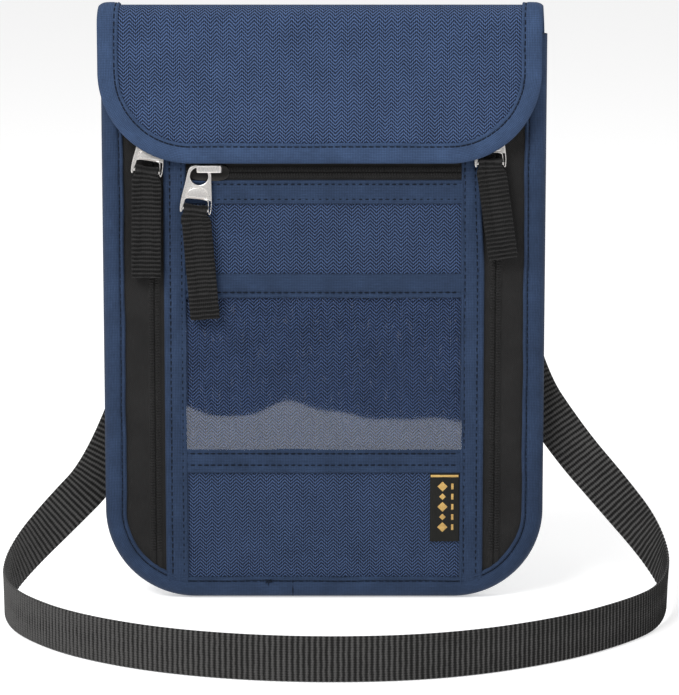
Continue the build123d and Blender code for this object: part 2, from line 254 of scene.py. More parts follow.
# ---- flat sewn pieces ----
def panel(name, xs, zs, face, thickness, size=1.6, tucked=False):
    """A panel of cloth between xs and zs. face(x, z, lift) places it; tucked follows the bottom corners."""
    us, shares = steps(*xs, size), steps(0, 1, size / (zs[1] - zs[0]))

    def height(x, share):
        low = np.maximum(zs[0], floor_z(x)) if tucked else zs[0]
        return low + share * (zs[1] - low)

    return cloth(name, us, shares, lambda x, s: face(x, height(x, s), 0.0),
                 lambda x, s: face(x, height(x, s), -thickness), lambda x, s: (x, height(x, s)))


def band_lift(across, along, width, height, grooves, roll=0.75):
    """The height of a folded tape: rolled edges, a groove at each stitch line, and a slight pucker."""
    near = np.minimum(across, width - across)
    lift = height * np.sqrt(np.clip(1 - (1 - np.clip(near / roll, 0, 1)) ** 2, 0, 1))
    for groove in grooves:
        off = across - groove
        lift = lift - 0.5 * np.exp(-(off / 0.48) ** 2)
        lift = lift + 0.12 * np.cos(2 * np.pi * along / STITCH_PITCH) * np.exp(-(off / 1.1) ** 2)
    return lift + 0.05 * np.sin(along / 6.7 + across) * (near > 0.3)


def tape(name, xs, zs, upright, height, grooves, face=on_front, tucked=False, bow=None):
    """A folded tape sewn on the front, along Z if upright and along X if not."""
    width = xs[1] - xs[0] if upright else zs[1] - zs[0]
    across = rounded_steps(width)
    low, high = (zs if upright else xs)
    along = steps(low, high, 0.55)

    def place(a, s, base):
        lift = band_lift(a, s, width, height, grooves) if base is None else base
        if not upright:
            return face(s, zs[0] + a, lift)
        x = xs[0] + a + (bow(s, a) if bow else 0)
        z = np.maximum(s, floor_z(x) + 0.02 * (s - low)) if tucked else s
        return face(x, z, lift)

    if upright:
        return cloth(name, across, along, lambda a, s: place(a, s, None), lambda a, s: place(a, s, -0.8))
    return cloth(name, along, across, lambda s, a: place(a, s, None), lambda s, a: place(a, s, -0.8),
                 lambda s, a: (a, s))


# ---- stitches: short capsules of thread ----
def capsules(name, centres, directions, normals, length=STITCH_LENGTH, radius=STITCH_RADIUS):
    """One mesh of short round-ended rods, each lying along its direction."""
    centres, along, up = (np.asarray(v, float) for v in (centres, directions, normals))
    along = along / np.linalg.norm(along, axis=1)[:, None]
    side = np.cross(along, up)
    side = side / np.linalg.norm(side, axis=1)[:, None]
    up = np.cross(side, along)
    stations = np.array([-0.5, -0.36, 0, 0.36, 0.5])
    widths = np.array([0.35, 0.9, 1.0, 0.9, 0.35])
    turns = np.arange(6) * math.pi / 3
    around = side[:, None, None] * np.cos(turns)[:, None] + up[:, None, None] * np.sin(turns)[:, None]
    points = (centres[:, None, None] + along[:, None, None] * (stations * length)[:, None, None]
              + around * (widths * radius)[:, None, None])
    ring = np.arange(30).reshape(5, 6)
    after = np.roll(ring, -1, axis=1)
    wall = np.stack([ring[:-1], after[:-1], after[1:], ring[1:]], -1).reshape(-1, 4)
    offsets = 30 * np.arange(len(centres))
    faces = (wall[None] + offsets[:, None, None]).reshape(-1, 4).tolist()
    for end in (ring[0], ring[-1]):
        faces += (end[None] + offsets[:, None]).tolist()
    weave = np.stack([points[..., 0], points[..., 2]], -1).reshape(-1, 2)
    return make_mesh(name, points.reshape(-1, 3), faces, weave)


def stitch_row(line, start, end, face, lift):
    """Stitches along a line: line(s) gives x and z at s along it. Returns centres, directions, normals."""
    places = np.arange(start + STITCH_PITCH / 2, end, STITCH_PITCH)
    wander = 0.06 * np.sin(places * 1.7) + 0.05 * np.sin(places * 0.61 + 1)
    half = STITCH_LENGTH / 2

    def at(s, dx=0.0, dz=0.0):
        x, z = line(s)
        return np.stack(np.broadcast_arrays(*face(x + wander + dx, z + dz, lift)), -1)

    middle, direction = at(places), at(places + half) - at(places - half)
    normal = np.cross(at(places, dx=0.5) - middle, at(places, dz=0.5) - middle)
    return middle, direction, normal


def thread(name, rows):
    """All rows of stitches of one body as one piece."""
    return capsules(name, *(np.concatenate([row[k] for row in rows]) for k in range(3)))


# ---- bindings that wrap an edge ----
def outline_path(half, low, top, corner, size=0.9):
    """Points and inward directions along an outline: down the left, round the bottom, up the right."""
    turn = steps(0, math.pi / 2, size / corner)[1:-1]
    legs = steps(top, low + corner, size)
    base = steps(-(half - corner), half - corner, size)
    left = np.stack([np.full_like(legs, -half), legs], -1)
    left_in = np.tile([1.0, 0.0], (len(legs), 1))
    arc_in = np.stack([np.cos(turn), np.sin(turn)], -1)
    arc = np.array([-(half - corner), low + corner]) - corner * arc_in
    bottom = np.stack([base, np.full_like(base, low)], -1)
    bottom_in = np.tile([0.0, 1.0], (len(base), 1))
    mirror = np.array([-1.0, 1.0])
    points = np.concatenate([left, arc, bottom, arc[::-1] * mirror, left[::-1] * mirror])
    inward = np.concatenate([left_in, arc_in, bottom_in, arc_in[::-1] * mirror, left_in[::-1] * mirror])
    length = np.concatenate([[0], np.cumsum(np.linalg.norm(np.diff(points, axis=0), axis=1))])
    return points, inward, length


def edge_section(width, lip, stitch):
    """A binding's section: inset from the edge, share of the way to the back, and height above it."""
    front = [(width, 0.0, -0.3), (width + 0.02, 0.0, 0.25), (width - 0.2, 0.0, 0.8 * lip),
             (width - 0.6, 0.0, lip), (stitch + 0.6, 0.0, 0.96 * lip), (stitch + 0.28, 0.0, 0.66 * lip),
             (stitch, 0.0, 0.42 * lip), (stitch - 0.28, 0.0, 0.68 * lip), (stitch - 0.65, 0.0, lip),
             (0.62 * stitch, 0.0, 1.08 * lip), (0.4 * stitch, 0.0, lip), (0.24 * stitch, 0.02, 0.72 * lip),
             (0.12 * stitch, 0.08, 0.3 * lip), (0.04 * stitch, 0.22, 0.0), (0.0, 0.38, 0.0)]
    return np.array(front + [(inset, 1 - share, lift) for inset, share, lift in front[::-1]])


def binding(name, path, section, skin):
    """Sweeps the section along an outline. skin(x, z, share, lift) places a point of it."""
    points, inward, length = path
    wave = 0.10 * np.sin(length / 7.3) + 0.07 * np.sin(length / 3.1 + 1)
    pucker = 0.11 * np.cos(2 * np.pi * length / STITCH_PITCH)
    inset = section[:, 0][None] + wave[:, None] * smooth(3.0, 6.5, section[:, 0])[None]
    lift = section[:, 2][None] + pucker[:, None] * smooth(2.5, 6.0, section[:, 0])[None] * (section[:, 2] > 0)
    x = points[:, 0, None] + inward[:, 0, None] * inset
    z = points[:, 1, None] + inward[:, 1, None] * inset
    rings = np.stack(skin(x, z, np.broadcast_to(section[:, 1], x.shape), lift), -1)
    girth = np.concatenate([[0], np.cumsum(np.hypot(np.diff(section[:, 0]), np.diff(section[:, 1] * 4)))])
    weave = np.stack([np.broadcast_to(girth, x.shape), np.broadcast_to(length[:, None], x.shape)], -1)
    return sweep(name, rings, weave.reshape(-1, 2))


def body_skin(x, z, share, lift):
    """Between the pouch's front (share 0) and its back (share 1)."""
    front, back = front_y(x, z), back_y(x, z)
    side = np.where(share < 0.5, -1.0, 1.0)
    return x, front + share * (back - front) + side * lift, z


def path_line(path, inset):
    """The line at one inset along an outline, as a function of the length along it."""
    points, inward, length = path

    def line(s):
        inner = points + inward * inset
        return np.interp(s, length, inner[:, 0]), np.interp(s, length, inner[:, 1])
    return line


# ---- the pouch's body ----
def front_layout():
    """Where the front's panels and tapes lie, from the CAD nodes: x and z ranges."""
    places = {}
    for node in ("left_centre_binding", "right_centre_binding", "zip_facing_strip", "window_top_binding",
                 "window_bottom_binding", "clear_window", "side_label", "top_zip_tape", "upper_front_panel",
                 "window_backing", "lower_front_panel", "closure_panel", "loop_patch", "left_zip_tape",
                 "right_zip_tape", "left_zip_coil", "right_zip_coil", "top_zip_coil", "mouth_binding"):
        low, high = extent(node)
        places[node] = ((low[0], high[0]), (low[2], high[2]))
    return places


LAYOUT = front_layout()
EDGE_LIP = 1.15
EDGE_STITCH = EDGE_BAND - 1.45
EDGE_PATH = outline_path(BODY_HALF, 0.0, BODY_HIGH[2], BODY_CORNER)
SIDE_STITCHES = {"left_centre_binding": (2.3, 6.2), "right_centre_binding": (1.5, 5.7)}
LEVEL_STITCHES = {"zip_facing_strip": (1.7, 6.8), "window_top_binding": (2.2,),
                  "window_bottom_binding": (2.9, 6.9)}


def right_bow(z, across):
    """The right centre binding narrows towards its top, where the zip tape pulls it in."""
    return -1.3 * smooth(112, 150, z) * across / EDGE_BAND


def build_body():
    """Everything sewn to the pouch's body except the zips."""
    made = {}
    full = (-(BODY_HALF - EDGE_BAND + TUCK), BODY_HALF - EDGE_BAND + TUCK)

    def on_back(x, z, lift):
        return x, back_y(x, z) + lift, z

    def layer(depth):
        """A face this share of the way from the front to the back, for the inner layers."""
        def face(x, z, lift):
            front, back = front_y(x, z), back_y(x, z)
            return x, front + depth * (back - front) - lift, z
        return face

    made["back_panel"] = panel("back_panel", full, (0, BACK_TOP), on_back, 0.7, tucked=True)
    made["back_shield_lining"] = panel("back_shield_lining", full, (0, MOUTH_HIGH[2]), layer(0.86), 0.3,
                                       size=3, tucked=True)
    made["front_shield_lining"] = panel("front_shield_lining", full, (0, MOUTH_LOW[2]), layer(0.24), 0.3,
                                        size=3, tucked=True)
    made["pocket_base"] = panel("pocket_base", full, (0, MOUTH_LOW[2]), layer(0.12), 0.6, size=3, tucked=True)
    for node in ("closure_panel", "upper_front_panel", "window_backing", "lower_front_panel"):
        xs, zs = LAYOUT[node]
        made[node] = panel(node, xs, zs, on_front, 0.5, size=1.3, tucked=node == "lower_front_panel")
    for node, grooves in SIDE_STITCHES.items():
        xs, zs = LAYOUT[node]
        bow = right_bow if node.startswith("right") else None
        made[node] = tape(node, xs, (0.0, zs[1]), True, 1.15, grooves, tucked=True, bow=bow)
    for node, grooves in LEVEL_STITCHES.items():
        xs, zs = LAYOUT[node]
        made[node] = tape(node, (xs[0] - 1.2, xs[1] + 1.2), zs, False, 0.95, grooves)
    xs, zs = LAYOUT["mouth_binding"]
    made["mouth_binding"] = tape("mouth_binding", (full[0], full[1]), zs, False, 1.2, (1.2,),
                                 face=lambda x, z, lift: on_front(x, z, lift - 0.3))
    made["edge_binding"] = binding("edge_binding", EDGE_PATH, edge_section(EDGE_BAND, EDGE_LIP, EDGE_STITCH),
                                   body_skin)
    return made


def body_stitches():
    rows = []
    total = EDGE_PATH[2][-1]
    edge = path_line(EDGE_PATH, EDGE_STITCH)
    groove = 0.42 * EDGE_LIP + 0.1
    rows.append(stitch_row(edge, 1, total - 1, on_front, groove))
    rows.append(stitch_row(edge, 1, total - 1, lambda x, z, lift: (x, back_y(x, z) + lift, z), groove))
    for node, grooves in SIDE_STITCHES.items():
        xs, zs = LAYOUT[node]
        bow = right_bow if node.startswith("right") else (lambda z, a: 0 * z)
        for g in grooves:
            rows.append(stitch_row(lambda s, g=g, bow=bow, x=xs[0]: (x + g + bow(s, g), s),
                                   EDGE_BAND + 1, zs[1], on_front, 0.78))
    for node, grooves in LEVEL_STITCHES.items():
        xs, zs = LAYOUT[node]
        for g in grooves:
            rows.append(stitch_row(lambda s, g=g, z=zs[0]: (s, z + g + 0 * s), xs[0] + 0.5, xs[1] - 0.5,
                                   on_front, 0.58))
    return join("body_stitches", [thread("rows", rows), build_seam()])


SEAM_X = -10.9                  # where the edge binding's two ends overlap
TUFT_X = -19.4                  # where its thread was knotted off


def build_seam():
    """The line where the edge binding overlaps itself, and a small tuft of cut thread beside it."""
    dice = np.random.default_rng(11)
    middle = EDGE_BAND / 2
    line = capsules("seam", [np.array(on_front(SEAM_X, middle, EDGE_LIP + 0.02))], [[0.0, 0.0, 1.0]],
                    [[0.0, -1.0, 0.0]], EDGE_BAND - 1.6, 0.16)
    spots = np.stack([TUFT_X + dice.normal(0, 0.7, 9), EDGE_STITCH + dice.normal(0, 0.35, 9)], -1)
    centres = [np.array(on_front(x, z, EDGE_LIP + 0.05)) for x, z in spots]
    directions = np.stack([dice.normal(0, 1, 9), np.full(9, -0.25), dice.normal(0, 0.6, 9)], -1)
    tuft = capsules("tuft", centres, directions, np.tile([0.1, 0.2, 1.0], (9, 1)), 1.6, 0.16)
    return join("seam", [line, tuft])


# ---- the flap: one sheet from the back panel, over the fold and down the front ----
FOLD_RADIUS = 6.2
CLOTH = 0.4                     # half the thickness of the flap's outer cloth
FOLD_START = FOLD_TOP - CLOTH - FOLD_RADIUS
FOLD_END = FOLD_START + math.pi * FOLD_RADIUS
FLAP_END = FOLD_END + 4.0
FLAP_SHIFT = -1.4               # the flap hangs a little to the left
FLAP_STITCH = FLAP_BAND - 1.2
FLAP_LIP = 0.6
FLAP_BOTTOM = FLAP_LOW[2]


def flap_profile(t):
    """The middle of the cloth at unrolled height t: y, z and the outward normal."""
    turn = np.clip((t - FOLD_START) / FOLD_RADIUS, 0, math.pi)
    y = FLAP_MIDDLE_Y + FOLD_RADIUS * (1 - np.cos(turn))
    z = np.minimum(t, FOLD_START) + FOLD_RADIUS * np.sin(turn) - np.maximum(t - FOLD_END, 0)
    return y, z, -np.cos(turn), np.sin(turn)


def flap_swell(x, t):
    """How far the cloth stands out from its plane: a slight belly, and edges that turn in."""
    rise = np.sin(math.pi * np.clip((t - FLAP_BOTTOM) / (FOLD_START - FLAP_BOTTOM), 0, 1))
    belly = 0.5 * (1 - np.clip(np.abs(x) / 74, 0, 1) ** 2) * rise
    inset = inside_outline(x, t, FLAP_HALF, FLAP_BOTTOM, FLAP_CORNER)
    front = 1 - smooth(FOLD_START - 12, FOLD_START, t)
    return belly + front * (0.7 * unevenness(x + 20, t) - 0.3 * np.exp(-np.maximum(inset, 0) / 6))


def on_flap(x, t, lift):
    y, z, normal_y, normal_z = flap_profile(t)
    out = flap_swell(x, t) + lift
    shifted = x + FLAP_SHIFT * (1 - smooth(FOLD_START, FLAP_END, t))
    return shifted, y + normal_y * out, z + normal_z * out


def flap_skin(x, t, share, lift):
    """Between the flap's outside (share 0) and its inside (share 1)."""
    half = 0.62
    side = np.where(share < 0.5, 1.0, -0.4)
    return on_flap(x, t, half * (1 - 2 * share) + side * lift)


def build_flap():
    made = {}
    half = FLAP_HALF - FLAP_BAND + TUCK
    us = steps(-half, half, 1.3)
    shares = np.concatenate([steps(0, 0.66, 0.025), steps(0.66, 1, 0.012)[1:]])

    def height(x, share):
        low = tucked_low(x, FLAP_HALF, FLAP_BOTTOM, FLAP_CORNER, FLAP_BAND)
        return low + share * (FLAP_END - low)

    def sheet_piece(name, outside, inside):
        return cloth(name, us, shares, lambda x, s: on_flap(x, height(x, s), outside),
                     lambda x, s: on_flap(x, height(x, s), inside), lambda x, s: (x, height(x, s)))

    made["flap_panel"] = sheet_piece("flap_panel", CLOTH, -CLOTH)
    made["flap_lining"] = sheet_piece("flap_lining", -CLOTH, -CLOTH - 0.3)
    path = outline_path(FLAP_HALF, FLAP_BOTTOM, FLAP_END, FLAP_CORNER)
    section = edge_section(FLAP_BAND, FLAP_LIP, FLAP_STITCH)
    made["flap_binding"] = binding("flap_binding", path, section, flap_skin)
    line = path_line(path, FLAP_STITCH)
    end = path[2][-1]
    surface = 0.62 + 0.5 * FLAP_LIP
    inner = 0.62 + 0.2 * FLAP_LIP
    rows = [stitch_row(line, 1, end - 1, on_flap, surface), stitch_row(line, 1, end - 1, on_flap, -inner)]
    made["flap_stitches"] = thread("flap_stitches", rows)
    return made


def pile_patch(name, face, lifts, pitch, height):
    """A hook or loop patch: a backing with a field of short bristles."""
    low, high = extent(name)
    xs, zs = (low[0], high[0]), (low[2], high[2])
    backing = cloth(name, steps(*xs, 2), steps(*zs, 2), lambda x, z: face(x, z, lifts[1]),
                    lambda x, z: face(x, z, lifts[0]))
    dice = np.random.default_rng(7)
    x, z = (v.ravel() for v in np.meshgrid(np.arange(xs[0] + 0.8, xs[1] - 0.5, pitch),
                                           np.arange(zs[0] + 0.8, zs[1] - 0.5, pitch)))
    x, z = x + dice.normal(0, 0.2 * pitch, x.shape), z + dice.normal(0, 0.2 * pitch, z.shape)
    outward = 1 if lifts[1] > lifts[0] else -1
    centres = np.stack(face(x, z, lifts[1] + outward * height / 2), -1)
    directions = np.stack([dice.normal(0, 0.35, x.shape), -outward * np.ones_like(x),
                           dice.normal(0, 0.35, x.shape)], -1)
    bristles = capsules(name + "_bristles", centres, directions, np.tile([0.3, 0.2, 1.0], (len(x), 1)),
                        height, 0.17)
    return join(name, [backing, bristles])


# ---- zips ----
ZIP_NAMES = ("left", "right", "top")
PULL_LEAN = {"left": 0.8, "right": -8.1, "top": -4.7}       # degrees, the lower end towards -X
PULL_DROP = {"left": 36.7, "right": 33.1, "top": 38.0}
COIL_PITCH = 0.95
TAPE_RIDGE = 0.42
TAPE_MARGIN = 1.8               # how far a side tape runs on under the centre binding


def build_zip_tapes():
    """The woven tapes, with a low ridge where the coil lies behind them."""
    made = {}
    rows = {"left": (LAYOUT["left_zip_coil"], True), "right": (LAYOUT["right_zip_coil"], True),
            "top": (LAYOUT["top_zip_coil"], False)}
    for name, (coil, upright) in rows.items():
        xs, zs = LAYOUT[f"{name}_zip_tape"]
        line = sum(coil[0 if upright else 1]) / 2

        def face(x, z, lift, line=line, upright=upright):
            off = np.abs((x if upright else z) - line)
            ridge = TAPE_RIDGE * (1 - smooth(1.7, 2.4, off)) - 0.6 * np.exp(-(off / 0.26) ** 2)
            return on_front(x, z, lift + 0.1 + ridge)

        if upright:
            outer = -1 if name == "left" else 1
            inner = xs[0 if outer > 0 else 1] - outer * TAPE_MARGIN
            xs = tuple(sorted((inner, outer * (BODY_HALF - EDGE_BAND + TUCK))))
        node = f"{name}_zip_tape"
        across = steps(xs[0], xs[1], 0.22 if upright else 1.2)
        up = steps(0, 1, 1.2 / (zs[1] - zs[0])) if upright else steps(0, 1, 0.22 / (zs[1] - zs[0]))

        def height(x, share, zs=zs, upright=upright):
            low = np.maximum(zs[0], floor_z(x)) if upright else zs[0]
            return low + share * (zs[1] - low)

        made[node] = cloth(node, across, up, lambda x, s: face(x, height(x, s), 0.0),
                           lambda x, s: face(x, height(x, s), -0.5),
                           (lambda x, s: (x, height(x, s))) if upright else (lambda x, s: (height(x, s), x)))
        start, end = coil[1 if upright else 0]
        made[f"{name}_zip_coil"] = coil_piece(f"{name}_zip_coil", line, start, end, upright)
    return made


def coil_piece(name, line, start, end, upright):
    """The coil seen through the tape: two rows of low ribs, half a pitch apart."""
    centres, directions, normals = [], [], []
    for side in (-1, 1):
        s = np.arange(start + (0.25 + 0.25 * side) * COIL_PITCH, end, COIL_PITCH)
        off = line + side * 1.0 + 0 * s
        x, z = (off, s) if upright else (s, off)
        centres.append(np.stack(on_front(x, z, 0.08 + TAPE_RIDGE), -1))
        lean = np.array([side, 0, 0.12]) if upright else np.array([0.12, 0, side])
        directions.append(np.tile(lean, (len(s), 1)))
        normals.append(np.tile([0.0, -1.0, 0.0], (len(s), 1)))
    return capsules(name, *(np.concatenate(rows) for rows in (centres, directions, normals)), 1.5, 0.32)


def soften(outline, rounds=2):
    """Cuts the corners of a closed outline to round it."""
    points = np.asarray(outline, float)
    for _ in range(rounds):
        after = np.roll(points, -1, axis=0)
        points = np.stack([0.75 * points + 0.25 * after, 0.25 * points + 0.75 * after], 1).reshape(-1, 2)
    return points


def mirrored(half):
    """A closed outline from its right half, listed from the top middle to the bottom middle."""
    half = np.asarray(half, float)
    return np.concatenate([half, half[::-1] * [-1, 1]])


def oval(centre, radii, count=40):
    turn = np.arange(count) * 2 * math.pi / count
    return np.stack([centre[0] + radii[0] * np.cos(turn), centre[1] + radii[1] * np.sin(turn)], -1)


def turned(points, degrees):
    """Turned about Y, so that the lower end leans towards -X."""
    a = math.radians(degrees)
    x, y, z = points[..., 0], points[..., 1], points[..., 2]
    return np.stack([x * math.cos(a) + z * math.sin(a), y, z * math.cos(a) - x * math.sin(a)], -1)


def plate(name, outlines, depths, bevel, place):
    """A flat plate with rounded edges between two depths. The outlines after the first are holes."""
    curve = bpy.data.curves.new(name, "CURVE")
    curve.dimensions = "2D"
    curve.fill_mode = "BOTH"
    curve.extrude = (depths[1] - depths[0]) / 2 - bevel
    curve.bevel_depth = bevel
    curve.bevel_resolution = 2
    curve.offset = -bevel
    for outline in outlines:
        line = curve.splines.new("POLY")
        line.points.add(len(outline) - 1)
        for point, (x, z) in zip(line.points, outline):
            point.co = (x, z, 0, 1)
        line.use_cyclic_u = True
    holder = bpy.data.objects.new(name, curve)
    bpy.context.scene.collection.objects.link(holder)
    mesh = bpy.data.meshes.new_from_object(holder)
    tool = bmesh.new()
    tool.from_mesh(mesh)
    bmesh.ops.remove_doubles(tool, verts=tool.verts, dist=1e-4)
    points = np.array([vertex.co[:] for vertex in tool.verts])
    faces = [[vertex.index for vertex in face.verts] for face in tool.faces]
    tool.free()
    bpy.data.objects.remove(holder)
    bpy.data.meshes.remove(mesh)
    local = np.stack([points[:, 0], -points[:, 2] - sum(depths) / 2, points[:, 1]], -1)
    return make_mesh(name, place(local), faces, local[:, [0, 2]])


def bar_sweep(name, path, width, thickness, across, place):
    """A rounded bar along a path in the plate's frame; across is the direction of its width."""
    path = np.asarray(path, float)
    tangent = np.gradient(path, axis=0)
    tangent /= np.linalg.norm(tangent, axis=1)[:, None]
    across = np.asarray(across, float)
    up = np.cross(tangent, across)
    turn = np.arange(16) * math.pi / 8
    square = np.stack([np.sign(np.cos(turn)) * np.abs(np.cos(turn)) ** 0.55,
                       np.sign(np.sin(turn)) * np.abs(np.sin(turn)) ** 0.55], -1)
    rings = (path[:, None] + square[None, :, :1] * across * width / 2
             + square[None, :, 1:] * up[:, None] * thickness / 2)
    weave = np.stack([np.broadcast_to(turn, rings.shape[:2]), rings[..., 0]], -1).reshape(-1, 2)
    return sweep(name, place(rings), weave)


# the tab's outline, its right half from the top middle down, in its own frame
TAB_HALF = [(0, 1.55), (2.1, 1.35), (3.6, 0.3), (4.15, -1.9), (4.35, -4.2), (4.85, -7.6), (5.3, -10.8),
            (5.42, -13.2), (5.25, -14.9), (4.85, -15.3), (4.4, -14.9), (4.2, -13.4), (4.0, -11.4),
            (3.8, -10.3), (0, -10.2)]
TAB_HOLE = ((0, -2.35), (3.1, 3.05))
ARCH_HALF = [(0, -6.35), (1.9, -6.7), (3.1, -7.7), (3.45, -8.8), (3.55, -9.75), (0, -9.7)]
TAB_DEPTH = (-0.5, 0.5)
SLIDER_HALF = {"left": (4.5, 6.0), "right": (4.5, 6.0), "top": (6.6, 2.9)}


def zip_frame(name):
    """The tab's pivot and its lean, and the webbing's bar, from the joints."""
    pivot = np.array(JOINTS[f"{name}_tab_swing"]["pos_m"]) / MM
    bar = np.array(JOINTS[f"{name}_pull_swing"]["pos_m"]) / MM
    lean = math.degrees(math.atan2(pivot[0] - bar[0], pivot[2] - bar[2]))
    return pivot, bar, lean


def build_tab(name):
    pivot, bar, lean = zip_frame(name)

    def place(local):
        return turned(local, lean) + pivot

    arch = soften(mirrored(ARCH_HALF))
    arch_gap = arch + 0.17 * np.sign(arch - arch.mean(axis=0))
    ring = plate("ring", [soften(mirrored(TAB_HALF)), oval(*TAB_HOLE), arch_gap], TAB_DEPTH, 0.26, place)
    panel_piece = plate("arch", [arch], (-0.36, 0.42), 0.16, place)
    backing = plate("backing", [arch_gap * 1.02 + [0, 0.15]], (-0.42, 0.12), 0.1, place)
    pin = bar_sweep("pin", [(x, 0, -13.9) for x in np.linspace(-4.6, 4.6, 8)], 1.0, 1.0, (0, 0, 1), place)
    return join(f"{name}_pull_tab", [ring, panel_piece, backing, pin])


def build_slider(name):
    """The slider: a dark body with two skirts, and the bright bridge that the tab's ring hangs from. Its dark
    metal is partly painted shade.
    """
    pivot = zip_frame(name)[0]
    low, high = extent(f"{name}_zip_slider")
    half_x, half_z = SLIDER_HALF[name]
    middle = np.array([(low[0] + high[0]) / 2, 0, high[2] - half_z])
    along_x = name == "top"
    length, width = (half_x, half_z) if along_x else (half_z, half_x)
    outline = [(-length, 0.72 * width), (-0.45 * length, width), (length, width), (length, -width),
               (-0.45 * length, -width), (-length, -0.72 * width)]
    if not along_x:
        outline = [(b, -a) for a, b in outline]

    def place(local):
        return local + middle + [0, front_at_plate, 0]

    front_at_plate = pivot[1] + 1.85
    made = [plate("body", [soften(outline)], (-0.45, 0.45), 0.22, place)]
    skirt = 0.32 * width
    for side in (-1, 1):
        ends = np.array([(-0.7 * length, side * (width - skirt)), (0.9 * length, side * (width - skirt))])
        path = np.stack([ends[:, 0], [0.9, 0.9], ends[:, 1]], -1)
        path = path if along_x else path[:, [2, 1, 0]] * [1, 1, -1]
        made.append(bar_sweep("skirt", np.linspace(path[0], path[1], 6), 0.9, 1.3,
                              (0, 0, 1) if along_x else (1, 0, 0), place))
    body = join("slider_body", made)
    start = (pivot - middle)[0] - 0.9 if along_x else -3.4
    reach = 8.0 if along_x else 6.8
    turn = np.linspace(0, 1, 28)
    rise = 2.0 * np.clip(np.sin(math.pi * turn) * 3.2, 0, 1) ** 0.5
    away = start + reach * smooth(0, 1, turn)
    if along_x:
        path = np.stack([away, -0.3 - rise, 0 * turn + (pivot - middle)[2] + 0.1], -1)
    else:
        path = np.stack([0 * turn + (pivot - middle)[0], -0.3 - rise, away], -1)
    bridge = bar_sweep("bridge", path, 2.6, 0.8, (0, 0, 1) if along_x else (1, 0, 0), place)
    return body, bridge


RIB_PITCH = 1.45
RIB_HEIGHT = 0.5
LOOP_RISE = 1.4                 # how far the sleeve's slack top stands above the tab's bar


def build_pull(name):
    """Doubled webbing: up the front, round the tab's bar, and down the back."""
    _, bar, lean = zip_frame(name)
    drop = PULL_DROP[name]
    loop_radius, half_t = 0.98, 0.42
    down = drop - 0.2
    total = 2 * down + math.pi * loop_radius
    distance = np.concatenate([steps(0, down - 3, 0.24)[:-1], steps(down - 3, total - down + 3, 0.2),
                               steps(total - down + 3, total, 0.5)[1:]])
    across = np.concatenate([[-1, -0.985, -0.95], steps(-0.9, 0.9, 0.055), [0.95, 0.985, 1]])

    def centre(s):
        turn = np.clip((s - down) / loop_radius, 0, math.pi)
        below = np.maximum(down - s, 0) + np.maximum(s - down - math.pi * loop_radius, 0)
        flat = loop_radius - 0.5 * smooth(1.0, 4.5, below)
        return -flat * np.cos(turn), LOOP_RISE * np.sin(turn) - below, -np.cos(turn), np.sin(turn), below

    def face(side):
        def at(u, s):
            y, z, normal_y, normal_z, below = centre(s)
            half_w = 4.0 + 1.0 * smooth(0.8, 3.6, below) - 0.12 * smooth(drop - 1.5, drop, below)
            columns = smooth(0.30, 0.46, np.abs(u)) + smooth(drop * 0.74, drop * 0.78, below)
            wave = np.abs(np.sin(math.pi * (below + 0.25 * np.abs(u)) / RIB_PITCH)) ** 0.7
            edge = edge_roll(u)
            rib = RIB_HEIGHT * (np.clip(columns, 0.12, 1) * wave - 0.5)
            out = side * (half_t * (0.35 + 0.65 * edge) + rib * edge * (side > 0))
            local = np.stack([u * half_w, y + normal_y * out, z + normal_z * out], -1)
            turn_here = lean + (PULL_LEAN[name] - lean) * smooth(0.5, 5.0, below)
            angle = np.radians(turn_here)
            x = local[..., 0] * np.cos(angle) + local[..., 2] * np.sin(angle)
            zz = local[..., 2] * np.cos(angle) - local[..., 0] * np.sin(angle)
            return bar[0] + x, bar[1] + local[..., 1], bar[2] + zz
        return at

    return cloth(f"{name}_webbing_pull", across, distance, face(1), face(-1), lambda u, s: (u * 5, s))


def build_label():
    """The side label: a folded black ribbon with a woven gold ornament of bars and diamonds."""
    xs, zs = LAYOUT["side_label"]
    width, height = xs[1] - xs[0], zs[1] - zs[0]

    def ribbon_front(a, b):
        return on_front(xs[0] + a, zs[0] + b, band_lift(a, b, width, 0.55, (), roll=0.4) + 0.1)

    body = cloth("label_ribbon", rounded_steps(width, size=0.5), rounded_steps(height, size=0.5),
                 ribbon_front, lambda a, b: on_front(xs[0] + a, zs[0] + b, -0.1))

    def raise_flat(local):
        x, z = local[:, 0], local[:, 2]
        placed = np.stack(on_front(x, z, 0.62), -1)
        placed[:, 1] += local[:, 1]
        return placed

    middle = (xs[0] + xs[1]) / 2
    shapes = [[(xs[0] + 0.2, zs[1] - 1.3), (xs[1] - 0.4, zs[1] - 1.3), (xs[1] - 0.4, zs[1] - 0.5),
               (xs[0] + 0.2, zs[1] - 0.5)]]
    for k in range(5):
        z = zs[1] - 4.6 - 3.6 * k
        size = 1.75 if k % 2 == 0 else 1.15
        diamond = ((0, 1), (1, 0), (0, -1), (-1, 0))
        bar = ((-0.4, -1.0), (0.4, -1.0), (0.4, 1.0), (-0.4, 1.0))
        shapes.append([(middle - 0.8 + size * dx, z + size * dz) for dx, dz in diamond])
        shapes.append([(middle + 2.6 + dx, z + dz) for dx, dz in bar])
    threads = [plate("gold", [shape], (-0.1, 0.1), 0.05, raise_flat) for shape in shapes]
    return body, join("label_gold", threads)


